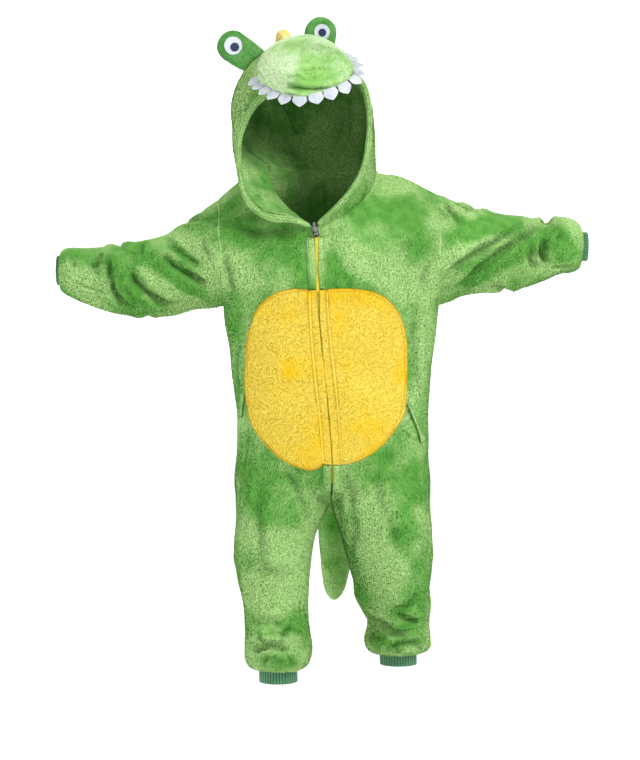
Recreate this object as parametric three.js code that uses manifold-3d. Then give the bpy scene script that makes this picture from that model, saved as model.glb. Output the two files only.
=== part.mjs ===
// Crocodile costume: a hooded fleece jumpsuit for a child of 3 to 4 years, hollow, in the pose in which it is worn.
// Millimetres, +Z up. The front faces -Y and +X is the wearer's left.
// The origin lies between the shoulders at the height of the neck, where the wearer carries the garment.
import * as THREE from "three";
import { mergeVertices } from "three/addons/utils/BufferGeometryUtils.js";
import Module from "manifold-3d";

// Driving dimensions
const FLEECE = 3.0; // cloth and pile together
const RIB_KNIT = 2.0;
const FELT = 1.5;
const HALF_SEAM = 0.15; // each panel stops this far short of the seam line
const LAY_ON = 1.1; // clearance under a piece that lies on a curved panel
const ARMPIT_Z = -175;
const FORK_Z = -470; // where the legs part
const RISE_TOP_Z = -390; // the front and back seams start to turn under here
const RISE_TURN = 4; // the higher, the later the centre seams turn under to the fork
const ZIP_HALF_GAP = 3.3; // from the zip's centre line to each front panel
const BAND_WIDTH = 13;
const BAND_RAISE = 2.6;
const SQUARENESS = 2.4; // exponent of the torso's sections, 2 is an ellipse
const SIDES = { left: 1, right: -1 }; // the wearer's sides, and their sign along X
const SIDE_SEAM_TURN = { left: 4, right: 12 }; // degrees that each side seam lies forward

// Grid counts
const COLS = { body: 10, hood: 5 }; // the hood has 5 columns each side of the ear, to match the neckline's
const ROWS = { upper: 10, torso: 6, rise: 5, leg: 11, sleeve: 14, hood: 12 };

const GREEN = { color: 0x6fae45, roughness: 0.95 };
const DEEP_GREEN = { color: 0x2c6a4a, roughness: 0.9 };
const YELLOW = { color: 0xf0cf2e, roughness: 0.95 };
const WHITE = { color: 0xeef0f4, roughness: 0.9 };
const NAVY = { color: 0x1d2740, roughness: 0.9 };
const STEEL = { color: 0x55575c, roughness: 0.35, metalness: 0.9 };

// Torso sections from the armpits down: centre, half width, reach to the front and back, and where the zip lies.
const TORSO = [
  { z: -175, centre: 1, half: 162, front: 96, back: 92, zip: -17 },
  { z: -235, centre: 2, half: 153, front: 104, back: 92, zip: -12 },
  { z: -290, centre: 3, half: 147, front: 109, back: 94, zip: -6 },
  { z: -345, centre: 4, half: 143, front: 110, back: 99, zip: -1 },
  { z: -400, centre: 3, half: 144, front: 106, back: 106, zip: 3 },
  { z: -470, centre: 2, half: 148, front: 98, back: 106, zip: 2 },
];

// Leg rings from the fork to the cuff: centre, half width and half depth. The last three turn under into the cuff.
const LEG = {
  left: [
    { z: -470, x: 76, y: 6, wide: 75.5, deep: 95 },
    { z: -490, x: 80, y: 7, wide: 72, deep: 92 },
    { z: -515, x: 85, y: 9, wide: 69, deep: 87 },
    { z: -550, x: 91, y: 15, wide: 66, deep: 81 },
    { z: -590, x: 96, y: 24, wide: 60, deep: 73 },
    { z: -625, x: 101, y: 33, wide: 54, deep: 66 },
    { z: -655, x: 102, y: 42, wide: 50, deep: 61 },
    { z: -679, x: 104, y: 49, wide: 53, deep: 60 },
    { z: -695, x: 105, y: 53, wide: 51, deep: 56 },
    { z: -704, x: 105, y: 55, wide: 43, deep: 47 },
    { z: -706, x: 105, y: 55, wide: 35, deep: 37 },
    { z: -700, x: 105, y: 55, wide: 29.4, deep: 30.4 },
  ],
  right: [
    { z: -470, x: -71, y: 4, wide: 71.5, deep: 95 },
    { z: -490, x: -76, y: 1, wide: 65.5, deep: 91 },
    { z: -515, x: -82, y: -3, wide: 61, deep: 85 },
    { z: -550, x: -87, y: -10, wide: 59, deep: 78 },
    { z: -590, x: -85, y: -21, wide: 54, deep: 69 },
    { z: -625, x: -80, y: -32, wide: 48, deep: 62 },
    { z: -655, x: -77, y: -42, wide: 51, deep: 60 },
    { z: -681, x: -77, y: -50, wide: 53, deep: 59 },
    { z: -698, x: -77, y: -54, wide: 50, deep: 56 },
    { z: -708, x: -77, y: -56, wide: 43, deep: 47 },
    { z: -710, x: -77, y: -56, wide: 35, deep: 37 },
    { z: -704, x: -77, y: -56, wide: 29.4, deep: 30.4 },
  ],
};

// Sleeve rings from the armhole to the cuff: centre, half height and half depth. The last two turn in to the cuff.
const SLEEVE = {
  left: [
    { x: 160, y: 0, z: -92, tall: 84, deep: 73 },
    { x: 180, y: 1, z: -92, tall: 77, deep: 68 },
    { x: 205, y: 3, z: -92, tall: 70, deep: 63 },
    { x: 235, y: 6, z: -92, tall: 64, deep: 59 },
    { x: 265, y: 9, z: -93, tall: 59, deep: 56 },
    { x: 295, y: 12, z: -93, tall: 56, deep: 54 },
    { x: 322, y: 15, z: -90, tall: 53, deep: 52 },
    { x: 344, y: 17, z: -86, tall: 47, deep: 47 },
    { x: 360, y: 19, z: -85, tall: 42, deep: 42 },
    { x: 373, y: 20, z: -85, tall: 35, deep: 35 },
    { x: 378, y: 20, z: -85, tall: 28, deep: 28 },
    { x: 373, y: 20, z: -85, tall: 22.6, deep: 22.6 },
  ],
  right: [
    { x: -166, y: 0, z: -95, tall: 81, deep: 73 },
    { x: -188, y: -1, z: -104, tall: 76, deep: 67 },
    { x: -215, y: -3, z: -117, tall: 70, deep: 62 },
    { x: -245, y: -6, z: -127, tall: 64, deep: 58 },
    { x: -275, y: -9, z: -131, tall: 61, deep: 55 },
    { x: -305, y: -12, z: -132, tall: 56, deep: 53 },
    { x: -335, y: -15, z: -129, tall: 52, deep: 50 },
    { x: -362, y: -17, z: -124, tall: 47, deep: 46 },
    { x: -384, y: -19, z: -121, tall: 40, deep: 40 },
    { x: -398, y: -20, z: -121, tall: 32, deep: 32 },
    { x: -402, y: -20, z: -121, tall: 26, deep: 26 },
    { x: -397, y: -20, z: -121, tall: 22.6, deep: 22.6 },
  ],
};

// Folds round a sleeve: along is the distance from the armhole at the turn given (0 under the arm, 90 front, 180 top,
// 270 back), slant is how far that distance grows with each 90 degrees, and depth is inwards where it is negative.
const SLEEVE_FOLDS = {
  left: [
    { along: 62, turn: 90, slant: 34, width: 20, spread: 95, depth: -7 },
    { along: 112, turn: 90, slant: 36, width: 19, spread: 80, depth: -6 },
    { along: 158, turn: 120, slant: 8, width: 15, spread: 130, depth: -9 },
    { along: 178, turn: 0, slant: 0, width: 16, spread: 80, depth: -9 },
    { along: 70, turn: 280, slant: -30, width: 20, spread: 80, depth: -7 },
    { along: 130, turn: 270, slant: -26, width: 19, spread: 80, depth: -7 },
  ],
  right: [
    { along: 48, turn: 100, slant: 52, width: 16, spread: 85, depth: -9 },
    { along: 102, turn: 95, slant: 52, width: 18, spread: 95, depth: -11 },
    { along: 156, turn: 100, slant: 34, width: 15, spread: 85, depth: -9 },
    { along: 196, turn: 150, slant: 22, width: 15, spread: 60, depth: -8 },
    { along: 75, turn: 270, slant: -44, width: 19, spread: 85, depth: -9 },
    { along: 140, turn: 265, slant: -38, width: 18, spread: 85, depth: -9 },
  ],
};

// Folds round a leg, by height: turn is 0 on the outer side, 90 front, 180 inner side, 270 back.
const LEG_FOLDS = {
  left: [
    { z: -618, turn: 70, slant: -30, width: 15, spread: 95, depth: -8 },
    { z: -652, turn: 150, slant: 20, width: 15, spread: 60, depth: -7 },
    { z: -600, turn: 270, slant: 14, width: 16, spread: 80, depth: -7 },
    { z: -664, turn: 270, slant: -12, width: 15, spread: 90, depth: -7 },
  ],
  right: [
    { z: -612, turn: 80, slant: 6, width: 15, spread: 75, depth: -5 },
    { z: -655, turn: 95, slant: 6, width: 15, spread: 75, depth: -9 },
    { z: -604, turn: 275, slant: 16, width: 16, spread: 80, depth: -7 },
    { z: -660, turn: 265, slant: -10, width: 15, spread: 90, depth: -7 },
  ],
};
const GATHERS = 8; // waves where a sleeve or a leg runs into its cuff
const GATHER_DEPTH = 2.2;

// Neckline: where it meets the front zip, the shoulder seams and the centre back.
const NECK_FRONT = new THREE.Vector3(-21, -91, -62);
const NECK_BACK = new THREE.Vector3(-12, 78, 28);
const NECK_SIDE = {
  left: new THREE.Vector3(72, 8, 27),
  right: new THREE.Vector3(-95, 8, 36),
};
const SHOULDER_TIP = {
  left: new THREE.Vector3(160, 2, -8),
  right: new THREE.Vector3(-166, 2, -14),
};
const ARMHOLE_REACH = { front: 72, back: 68 };
const SHOULDER_ARCH = 5; // how far the shoulder seam rises above a straight line

// Hood, from the neckline up: its face edge, its fullest line over the ear, and the seam down its centre back.
const FACE_EDGE = {
  left: [
    { x: -21, y: -91, z: -62 },
    { x: 12, y: -100, z: -30 },
    { x: 34, y: -93, z: -4 },
    { x: 52, y: -80, z: 34 },
    { x: 58, y: -70, z: 85 },
    { x: 54, y: -66, z: 128 },
    { x: 42, y: -70, z: 156 },
    { x: 16, y: -82, z: 173 },
    { x: -20, y: -88, z: 177 },
  ],
  right: [
    { x: -21, y: -91, z: -62 },
    { x: -54, y: -105, z: -44 },
    { x: -96, y: -103, z: -36 },
    { x: -124, y: -90, z: -6 },
    { x: -136, y: -78, z: 38 },
    { x: -133, y: -72, z: 86 },
    { x: -112, y: -74, z: 126 },
    { x: -72, y: -82, z: 158 },
    { x: -20, y: -88, z: 177 },
  ],
};
const HOOD_SIDE = {
  left: [
    { x: 72, y: 8, z: 27 },
    { x: 69, y: 8, z: 50 },
    { x: 67, y: 8, z: 78 },
    { x: 66, y: 8, z: 104 },
    { x: 61, y: 6, z: 132 },
    { x: 48, y: 2, z: 160 },
    { x: 24, y: -6, z: 186 },
    { x: -10, y: -18, z: 205 },
    { x: -46, y: -36, z: 215 },
  ],
  right: [
    { x: -95, y: 8, z: 36 },
    { x: -120, y: 4, z: 52 },
    { x: -137, y: 2, z: 74 },
    { x: -146, y: 2, z: 100 },
    { x: -147, y: 4, z: 128 },
    { x: -142, y: 2, z: 154 },
    { x: -130, y: -4, z: 178 },
    { x: -105, y: -17, z: 200 },
    { x: -46, y: -36, z: 215 },
  ],
};
const HOOD_SEAM = [
  { x: -12, y: 78, z: 28 },
  { x: -27, y: 99, z: 50 },
  { x: -43, y: 114, z: 78 },
  { x: -58, y: 121, z: 110 },
  { x: -71, y: 117, z: 142 },
  { x: -81, y: 101, z: 173 },
  { x: -80, y: 74, z: 200 },
  { x: -73, y: 41, z: 216 },
  { x: -62, y: 5, z: 221 },
];
const CROWN = 0.25; // share of the hood's height over which its arcs straighten toward the middle of the head
const HOOD_HEM = { wide: 6.5, thick: 4.5, sides: 8, steps: 22, from: { left: 0.035, right: 0.056 }, to: 0.985 };

// The snout turns to the wearer's left with the head, tilts with it and nods down.
const SNOUT = {
  x: -37, y: -70, z: 169, turn: 18, tilt: 20, nod: 23,
  half: 65, length: 86, dome: 46, belly: 13, squareness: 2.5, around: 24,
};
const TEETH = {
  count: 15, long: 15, leaf: 0.42, gum: 1.6, start: -24, end: 204, dropFront: 46, dropSide: 12, steps: 4,
};
const EYE_STALK = { long: 68, wide: 47, thick: 17, round: 5.5 };
const EYES = {
  left: { x: -14, y: -9, z: 231.5, lean: 7, turn: 12, white: 12, pupil: 5.9, lookX: 0.3, lookY: -1 },
  right: { x: -144, y: -14, z: 211, lean: -56, turn: 4, white: 13.6, pupil: 6.6, lookX: -0.6, lookY: -3.2 },
};
const PUPIL_THICK = 1.2;

// Belly patch: an oval, squarer above its centre than below.
const BELLY = {
  x: -6, z: -287, half: 117, up: 140, down: { left: 116, right: 126 }, squareUp: 3.6, squareDown: 2.15, last: 79,
};
const BELLY_SCALLOP = { left: 0, right: 8.5 }; // how far the lowest edge rises toward the zip
const BELLY_RAISE = 2.4;
const BELLY_GRID = { cols: 8, rows: 14 };

// Zip
const ZIP = { top: -69, bottom: -436, tape: 12, chain: 2.4, chainThick: 1.9, tapeThick: 0.8 };
const BELLY_TOP_Z = -148;
const BELLY_BOTTOM_Z = -402.5;
const SLIDER = { wide: 8.5, tall: 11, thick: 3.6, lean: -10, lug: 1.3, pin: 0.9, pinOut: 2.6 };
const PULL = { wide: 6, long: 17, thick: 1.3, bore: 1.35, leanBack: 12 };

// Tail: a stuffed tube that hangs from the seat.
const TAIL = [
  { x: 7, y: 78, z: -352, radius: 42 },
  { x: 8, y: 122, z: -376, radius: 44 },
  { x: 10, y: 152, z: -424, radius: 40 },
  { x: 11, y: 168, z: -482, radius: 34 },
  { x: 11, y: 172, z: -532, radius: 29 },
  { x: 10, y: 170, z: -578, radius: 25 },
  { x: 9, y: 166, z: -612, radius: 20 },
  { x: 8, y: 162, z: -632, radius: 13 },
  { x: 8, y: 160, z: -641, radius: 4 },
];
const TAIL_SIDES = 14;

// Spikes: rounded padded points along the centre back, each from one share of its seam to another.
const SPIKE = { thick: 9, bevel: 3 };
const SPIKES = {
  hood: [
    { from: 0.86, to: 0.985, high: 23 },
    { from: 0.66, to: 0.8, high: 24 },
    { from: 0.46, to: 0.6, high: 24 },
    { from: 0.26, to: 0.4, high: 22 },
  ],
  back: [
    { from: 0.06, to: 0.19, high: 24 },
    { from: 0.27, to: 0.4, high: 25 },
    { from: 0.48, to: 0.61, high: 25 },
    { from: 0.69, to: 0.82, high: 25 },
  ],
  tail: [
    { from: 0.2, to: 0.33, high: 24 },
    { from: 0.42, to: 0.54, high: 22 },
    { from: 0.63, to: 0.75, high: 20 },
  ],
};

// Ribbed cuffs: the centre of the seam, the way out, radius, and how far each reaches inside and beyond the fleece.
const CUFFS = {
  wrist_left: { at: [373, 20, -85], out: [1, 0, 0], radius: 21.9, inside: 4, beyond: 14 },
  wrist_right: { at: [-397, -20, -121], out: [-1, 0, 0], radius: 21.9, inside: 4, beyond: 9 },
  ankle_left: { at: [105, 55, -700], out: [0, 0, -1], radius: 28.6, inside: 4, beyond: 24 },
  ankle_right: { at: [-77, -56, -704], out: [0, 0, -1], radius: 28.6, inside: 4, beyond: 26 },
};
const CUFF_RIBS = 18;
const RIB_HEIGHT = 0.9;

// Pocket mouths: a welt from the belly patch out to the side seam.
const POCKETS = {
  left: [{ x: 114, z: -316 }, { x: 127, z: -345 }, { x: 136, z: -376 }],
  right: [{ x: -127, z: -304 }, { x: -129.5, z: -320 }, { x: -131.5, z: -338 }],
};
const POCKET_WELT = { half: 3.2, raise: 2.2, steps: 8 };

const V = (p) => new THREE.Vector3(p.x, p.y, p.z);
const radians = THREE.MathUtils.degToRad;
const clamp = THREE.MathUtils.clamp;
const smooth = (t) => t * t * (3 - 2 * t);
const mix = (a, b, t) => a + (b - a) * t;

// A table's row at a share from 0 to 1 of its length, every column on a smooth curve through its rows.
function alongTable(table, share) {
  const at = clamp(share, 0, 1) * (table.length - 1);
  const i = Math.min(Math.floor(at), table.length - 2);
  const t = at - i;
  const row = (k) => table[clamp(k, 0, table.length - 1)];
  const out = {};
  for (const column of Object.keys(table[0])) {
    const [p0, p1, p2, p3] = [i - 1, i, i + 1, i + 2].map((k) => row(k)[column]);
    const [m1, m2] = [(p2 - p0) / 2, (p3 - p1) / 2];
    out[column] =
      p1 * (2 * t ** 3 - 3 * t ** 2 + 1) +
      m1 * (t ** 3 - 2 * t ** 2 + t) +
      p2 * (3 * t ** 2 - 2 * t ** 3) +
      m2 * (t ** 3 - t ** 2);
  }
  return out;
}

// A table's row at a height, by its falling z column.
function atHeight(table, z) {
  let i = table.findIndex((row) => row.z <= z) - 1;
  if (i < 0) i = z >= table[0].z ? 0 : table.length - 2;
  const t = clamp((z - table[i].z) / (table[i + 1].z - table[i].z), 0, 1);
  return alongTable(table, (i + t) / (table.length - 1));
}

// One coordinate of a superellipse: the cosine or sine of its angle, bent by its squareness.
const bent = (c, squareness) => Math.sign(c) * Math.abs(c) ** (2 / squareness);

// How far a fold moves the cloth at a distance from its line and at a turn.
function foldDepth(fold, distance, turn) {
  const away = ((turn - fold.turn + 540) % 360) - 180;
  const off = distance - (fold.slant * away) / 90;
  return fold.depth * Math.exp(-((off / fold.width) ** 2)) * Math.exp(-((away / fold.spread) ** 4));
}

// A quarter of the torso's section, from the side seam to the centre front or back.
function torsoPoint(side, face, u, z) {
  const row = atHeight(TORSO, z);
  const centreX = face === "front" ? row.zip : row.centre;
  const start = face === "front" ? SIDE_SEAM_TURN[side] : -SIDE_SEAM_TURN[side];
  const shift = (SIDES[side] * (centreX - row.centre)) / row.half;
  const end = 90 - THREE.MathUtils.radToDeg(Math.asin(Math.sign(shift) * Math.abs(shift) ** (SQUARENESS / 2)));
  const angle = radians(mix(start, end, u));
  const forward = (face === "front" ? 1 : -1) * bent(Math.sin(angle), SQUARENESS);
  return new THREE.Vector3(
    row.centre + SIDES[side] * row.half * bent(Math.cos(angle), SQUARENESS),
    -forward * (forward > 0 ? row.front : row.back),
    z,
  );
}

// Half of a leg's ring, from the side seam to the inseam, with its folds and the gathers at the hem.
function legPoint(side, face, u, share) {
  const row = alongTable(LEG[side], share);
  const start = face === "front" ? SIDE_SEAM_TURN[side] : -SIDE_SEAM_TURN[side];
  const turn = mix(start, 180, u);
  const angle = radians(turn);
  const round = face === "front" ? turn : 360 - turn;
  let push = 0;
  for (const fold of LEG_FOLDS[side]) push += foldDepth(fold, row.z - fold.z, round);
  const hem = clamp((share - 0.68) / 0.14, 0, 1);
  push += GATHER_DEPTH * smooth(hem) * Math.cos(radians(round * GATHERS)) * (share > 0.93 ? 0 : 1);
  const grow = 1 + push / row.wide;
  const squareness = mix(SQUARENESS, 2, Math.min(1, share * 3));
  return new THREE.Vector3(
    row.x + SIDES[side] * row.wide * grow * bent(Math.cos(angle), squareness),
    row.y + (face === "front" ? -1 : 1) * row.deep * grow * bent(Math.sin(angle), squareness),
    row.z,
  );
}

// Neckline of one side: a share of 0 is the front, 0.5 the shoulder seam and 1 the centre back.
function neckline(side, share) {
  return hoodArc(NECK_FRONT, NECK_SIDE[side], NECK_BACK, share);
}

// An arc over one side of the head: a bowed line from the face edge to the side, then a quarter ellipse to the seam.
// Its roundness of 0 makes the second part straight in plan.
function hoodArc(face, flank, seam, share, roundness = 1) {
  if (share <= 0.5) {
    const t = share * 2;
    const bow = new THREE.Vector3(flank.x, mix(face.y, flank.y, 0.35), mix(face.z, flank.z, 0.45));
    return face.clone().multiplyScalar((1 - t) ** 2)
      .addScaledVector(bow, 2 * t * (1 - t))
      .addScaledVector(flank, t * t);
  }
  const angle = radians((share - 0.5) * 180);
  const centre = new THREE.Vector3(seam.x, flank.y, (seam.z + flank.z) / 2);
  const round = centre.clone()
    .addScaledVector(flank.clone().sub(centre), Math.cos(angle))
    .addScaledVector(seam.clone().sub(centre), Math.sin(angle));
  const straight = flank.clone().lerp(seam, 2 * share - 1).setZ(round.z);
  return straight.lerp(round, roundness);
}

// Armhole of one side, from the armpit at 0 to the shoulder tip at 1.
function armhole(side, face, t) {
  const low = torsoPoint(side, face, 0, ARMPIT_Z);
  const tip = SHOULDER_TIP[side];
  const out = face === "front" ? -ARMHOLE_REACH.front : ARMHOLE_REACH.back;
  const p = low.clone().lerp(tip, t);
  p.y += out * Math.sin(Math.PI * t) ** 0.9;
  return p;
}

// Top edge of a body panel: the shoulder seam from the tip to the neck, then the neckline to the centre.
function topEdge(side, face, u) {
  if (u <= 0.5) {
    const t = u * 2;
    const p = SHOULDER_TIP[side].clone().lerp(NECK_SIDE[side], t);
    p.z += SHOULDER_ARCH * Math.sin(Math.PI * t);
    return p;
  }
  return neckline(side, face === "front" ? 1 - u : u);
}

// The yoke above the armpits: a surface through its four edges.
function yokePoint(side, face, u, t) {
  const bottom = (x) => torsoPoint(side, face, x, ARMPIT_Z);
  const top = (x) => topEdge(side, face, x);
  const centreLine = bottom(1).lerp(top(1), t);
  return bottom(u).multiplyScalar(1 - t)
    .addScaledVector(top(u), t)
    .addScaledVector(armhole(side, face, t), 1 - u)
    .addScaledVector(centreLine, u)
    .addScaledVector(bottom(0), -(1 - u) * (1 - t))
    .addScaledVector(bottom(1), -u * (1 - t))
    .addScaledVector(top(0), -(1 - u) * t)
    .addScaledVector(top(1), -u * t);
}

// A grid of points, rows by columns, over a patch of the garment's outer surface.
function patch(rows, cols, point) {
  const grid = [];
  for (let i = 0; i <= rows; i++) {
    const line = [];
    for (let j = 0; j <= cols; j++) line.push(point(i, j));
    grid.push(line);
  }
  return grid;
}

// One of the four body panels, from the shoulder down to the cuff, in rows from the top.
function bodyPanel(side, face) {
  const { upper, torso, rise, leg } = ROWS;
  return patch(upper + torso + rise + leg, COLS.body, (i, j) => {
    const u = j / COLS.body;
    if (i <= upper) return yokePoint(side, face, u, 1 - i / upper);
    if (i <= upper + torso) {
      return torsoPoint(side, face, u, mix(ARMPIT_Z, RISE_TOP_Z, (i - upper) / torso));
    }
    if (i <= upper + torso + rise) {
      const t = (i - upper - torso) / rise;
      const z = mix(RISE_TOP_Z, FORK_Z, t);
      const fork = legPoint(side, face, u, 0);
      fork.z = z;
      return torsoPoint(side, face, u, z).lerp(fork, mix(smooth(t), t ** RISE_TURN, u ** 3));
    }
    return legPoint(side, face, u, (i - upper - torso - rise) / leg);
  });
}

// A sleeve: rings that leave the armhole's own points and settle into the table's ovals.
function sleeveTube(side) {
  const around = 2 * ROWS.upper;
  const first = SLEEVE[side][0];
  const oval = (row, j, push) => {
    const turn = (2 * Math.PI * j) / around;
    return new THREE.Vector3(
      row.x,
      row.y - (row.deep + push) * Math.sin(turn),
      row.z - (row.tall + push) * Math.cos(turn),
    );
  };
  return patch(ROWS.sleeve, around, (i, j) => {
    const share = i / ROWS.sleeve;
    const hole = j <= ROWS.upper
      ? armhole(side, "front", j / ROWS.upper)
      : armhole(side, "back", (around - j) / ROWS.upper);
    if (i === 0) return hole;
    const row = alongTable(SLEEVE[side], share);
    const turn = (360 * j) / around;
    const along = Math.abs(row.x - first.x);
    const end = clamp((share - 0.62) / 0.2, 0, 1);
    let push = GATHER_DEPTH * smooth(end) * Math.cos(radians(turn * GATHERS)) * (share > 0.95 ? 0 : 1);
    for (const fold of SLEEVE_FOLDS[side]) push += foldDepth(fold, along - fold.along, turn) * smooth(Math.min(1, i / 3));
    const fade = Math.max(0, 1 - share * 3) ** 2;
    return oval(row, j, push).addScaledVector(hole.sub(oval(first, j, 0)), fade);
  });
}

// One side of the hood, in rows from the neckline to the crown, in columns from the face edge to the centre seam.
function hoodPoint(side, b, share) {
  if (b === 0) return neckline(side, share);
  const [face, flank, seam] = [FACE_EDGE[side], HOOD_SIDE[side], HOOD_SEAM].map((t) => V(alongTable(t, b)));
  return hoodArc(face, flank, seam, share, Math.min(1, (1 - b) / CROWN));
}
function hoodPanel(side) {
  return patch(ROWS.hood, 2 * COLS.hood, (i, j) => hoodPoint(side, i / ROWS.hood, j / (2 * COLS.hood)));
}

// Normals of several grids that meet at shared points, so that panels on both sides of a seam lean the same way.
function seamNormals(grids) {
  const key = (p) => [p.x, p.y, p.z].map((c) => Math.round(c * 20)).join();
  const sums = new Map();
  for (const { grid, flip } of grids) {
    for (let i = 0; i + 1 < grid.length; i++) {
      for (let j = 0; j + 1 < grid[0].length; j++) {
        const across = grid[i + 1][j + 1].clone().sub(grid[i][j]);
        const normal = across.cross(grid[i + 1][j].clone().sub(grid[i][j + 1]));
        if (flip) normal.negate();
        for (const p of [grid[i][j], grid[i][j + 1], grid[i + 1][j], grid[i + 1][j + 1]]) {
          const k = key(p);
          if (!sums.has(k)) sums.set(k, new THREE.Vector3());
          sums.get(k).add(normal);
        }
      }
    }
  }
  return (p) => sums.get(key(p)).clone().normalize();
}

// Moves a grid's edges in from its seams. Each edge is a distance, or a function of the point there.
function trimmed(grid, edges) {
  const out = grid.map((line) => line.map((p) => p.clone()));
  const [last, end] = [grid.length - 1, grid[0].length - 1];
  const pull = (i, j, k, l, amount) => {
    const by = typeof amount === "function" ? amount(grid[i][j]) : amount;
    const inward = grid[k][l].clone().sub(grid[i][j]).normalize();
    out[i][j].addScaledVector(inward, by);
  };
  for (let i = 0; i <= last; i++) {
    if (edges.start) pull(i, 0, i, 1, edges.start);
    if (edges.end) pull(i, end, i, end - 1, edges.end);
  }
  for (let j = 0; j <= end; j++) {
    if (edges.top) pull(0, j, 1, j, edges.top);
    if (edges.bottom) pull(last, j, last - 1, j, edges.bottom);
  }
  return out;
}

// The two triangles of a four-sided cell, split along its shorter diagonal.
// The guide is the cell that decides, so that walls on both sides of a gap are split alike.
function splitCell([a, b, c, d], guide = [a, b, c, d]) {
  const first = guide[0].distanceTo(guide[2]) <= guide[1].distanceTo(guide[3]);
  return first ? [[a, b, c], [a, c, d]] : [[a, b, d], [b, c, d]];
}
const cellOf = (grid, i, j, next = j + 1) => [grid[i][j], grid[i][next], grid[i + 1][next], grid[i + 1][j]];

// A closed wall between an outer and an inner grid. A closed tube's last column repeats its first.
function wallGeometry(outer, inner, closed, guide = outer) {
  const [rows, cols] = [outer.length, outer[0].length - (closed ? 1 : 0)];
  const positions = [];
  const corner = (grid, i, j) => grid[i][closed ? j % cols : j];
  const put = (p) => positions.push(p.x, p.y, p.z);
  const quad = (...cell) => splitCell(cell).flat().forEach(put);
  const spans = closed ? cols : cols - 1;
  for (let i = 0; i + 1 < rows; i++) {
    for (let j = 0; j < spans; j++) {
      const next = closed ? (j + 1) % cols : j + 1;
      const decides = cellOf(guide, i, j, next);
      splitCell(cellOf(outer, i, j, next), decides).flat().forEach(put);
      for (const [a, b, c] of splitCell(cellOf(inner, i, j, next), decides)) [c, b, a].forEach(put);
    }
    if (!closed) {
      quad(outer[i + 1][0], inner[i + 1][0], inner[i][0], outer[i][0]);
      quad(outer[i][cols - 1], inner[i][cols - 1], inner[i + 1][cols - 1], outer[i + 1][cols - 1]);
    }
  }
  for (let j = 0; j < spans; j++) {
    quad(corner(inner, 0, j), corner(inner, 0, j + 1), corner(outer, 0, j + 1), corner(outer, 0, j));
    const i = rows - 1;
    quad(corner(outer, i, j), corner(outer, i, j + 1), corner(inner, i, j + 1), corner(inner, i, j));
  }
  return facingOut(positions);
}

// A geometry from loose triangles, turned round if it encloses a negative volume.
function facingOut(positions) {
  let volume = 0;
  const at = (i) => new THREE.Vector3().fromArray(positions, 3 * i);
  for (let i = 0; i < positions.length / 3; i += 3) volume += at(i).dot(at(i + 1).cross(at(i + 2)));
  if (volume < 0) {
    for (let i = 0; i < positions.length; i += 9) {
      for (let k = 3; k < 6; k++) [positions[i + k], positions[i + k + 3]] = [positions[i + k + 3], positions[i + k]];
    }
  }
  return new THREE.BufferGeometry().setAttribute("position", new THREE.Float32BufferAttribute(positions, 3));
}

// A closed skin over rings of points, with a fan to the centre of each end ring.
function ringGeometry(rings) {
  const positions = [];
  const put = (...points) => points.forEach((p) => positions.push(p.x, p.y, p.z));
  const n = rings[0].length;
  for (let i = 0; i + 1 < rings.length; i++) {
    for (let j = 0; j < n; j++) {
      const [a, b] = [rings[i][j], rings[i][(j + 1) % n]];
      const [c, d] = [rings[i + 1][(j + 1) % n], rings[i + 1][j]];
      put(a, b, c, a, c, d);
    }
  }
  for (const [ring, turned] of [[rings[0], true], [rings[rings.length - 1], false]]) {
    const middle = ring.reduce((sum, p) => sum.add(p), new THREE.Vector3()).divideScalar(n);
    for (let j = 0; j < n; j++) {
      const [a, b] = [ring[j], ring[(j + 1) % n]];
      if (turned) put(middle, b, a);
      else put(middle, a, b);
    }
  }
  return facingOut(positions);
}

const costume = new THREE.Group();

// Adds a named piece to the costume.
function addPiece(name, geometry, finish) {
  const mesh = new THREE.Mesh(geometry, new THREE.MeshStandardMaterial(finish));
  mesh.name = name;
  costume.add(mesh);
  return mesh;
}

// The outer surface of the whole garment, as grids that share their points at the seams.
const panels = {};
for (const side of Object.keys(SIDES)) {
  for (const face of ["front", "back"]) {
    panels[`${face}_${side}`] = { grid: bodyPanel(side, face), flip: (side === "left") === (face === "back") };
  }
  panels[`sleeve_${side}`] = { grid: sleeveTube(side), flip: side === "left" };
  panels[`hood_${side}`] = { grid: hoodPanel(side), flip: side === "right" };
}
const normalAt = seamNormals(Object.values(panels));

// A grid's points moved out along the garment's normals.
const movedOut = (grid, normals, by) => grid.map((line, i) => line.map((p, j) => p.clone().addScaledVector(normals[i][j], by)));

// Fleece panels: where each edge stops short of its seam.
const zipGap = (p) => (p.z > ZIP.bottom - 8 && p.y < 0 && p.z < NECK_FRONT.z + 1 ? ZIP_HALF_GAP : HALF_SEAM);
const PANEL_EDGES = {
  front: { start: HALF_SEAM, end: zipGap, top: HALF_SEAM },
  back: { start: HALF_SEAM, end: 3 * HALF_SEAM, top: HALF_SEAM },
  sleeve: { top: 2 * HALF_SEAM },
  hood: { start: HALF_SEAM, end: HALF_SEAM, top: 2 * HALF_SEAM, bottom: HALF_SEAM },
};
for (const [name, { grid }] of Object.entries(panels)) {
  const kind = name.split("_")[0];
  const normals = grid.map((line) => line.map(normalAt));
  const outer = trimmed(grid, PANEL_EDGES[kind]);
  const inner = movedOut(outer, normals, -FLEECE);
  addPiece(name, wallGeometry(outer, inner, kind === "sleeve", grid), GREEN);
}

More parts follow.
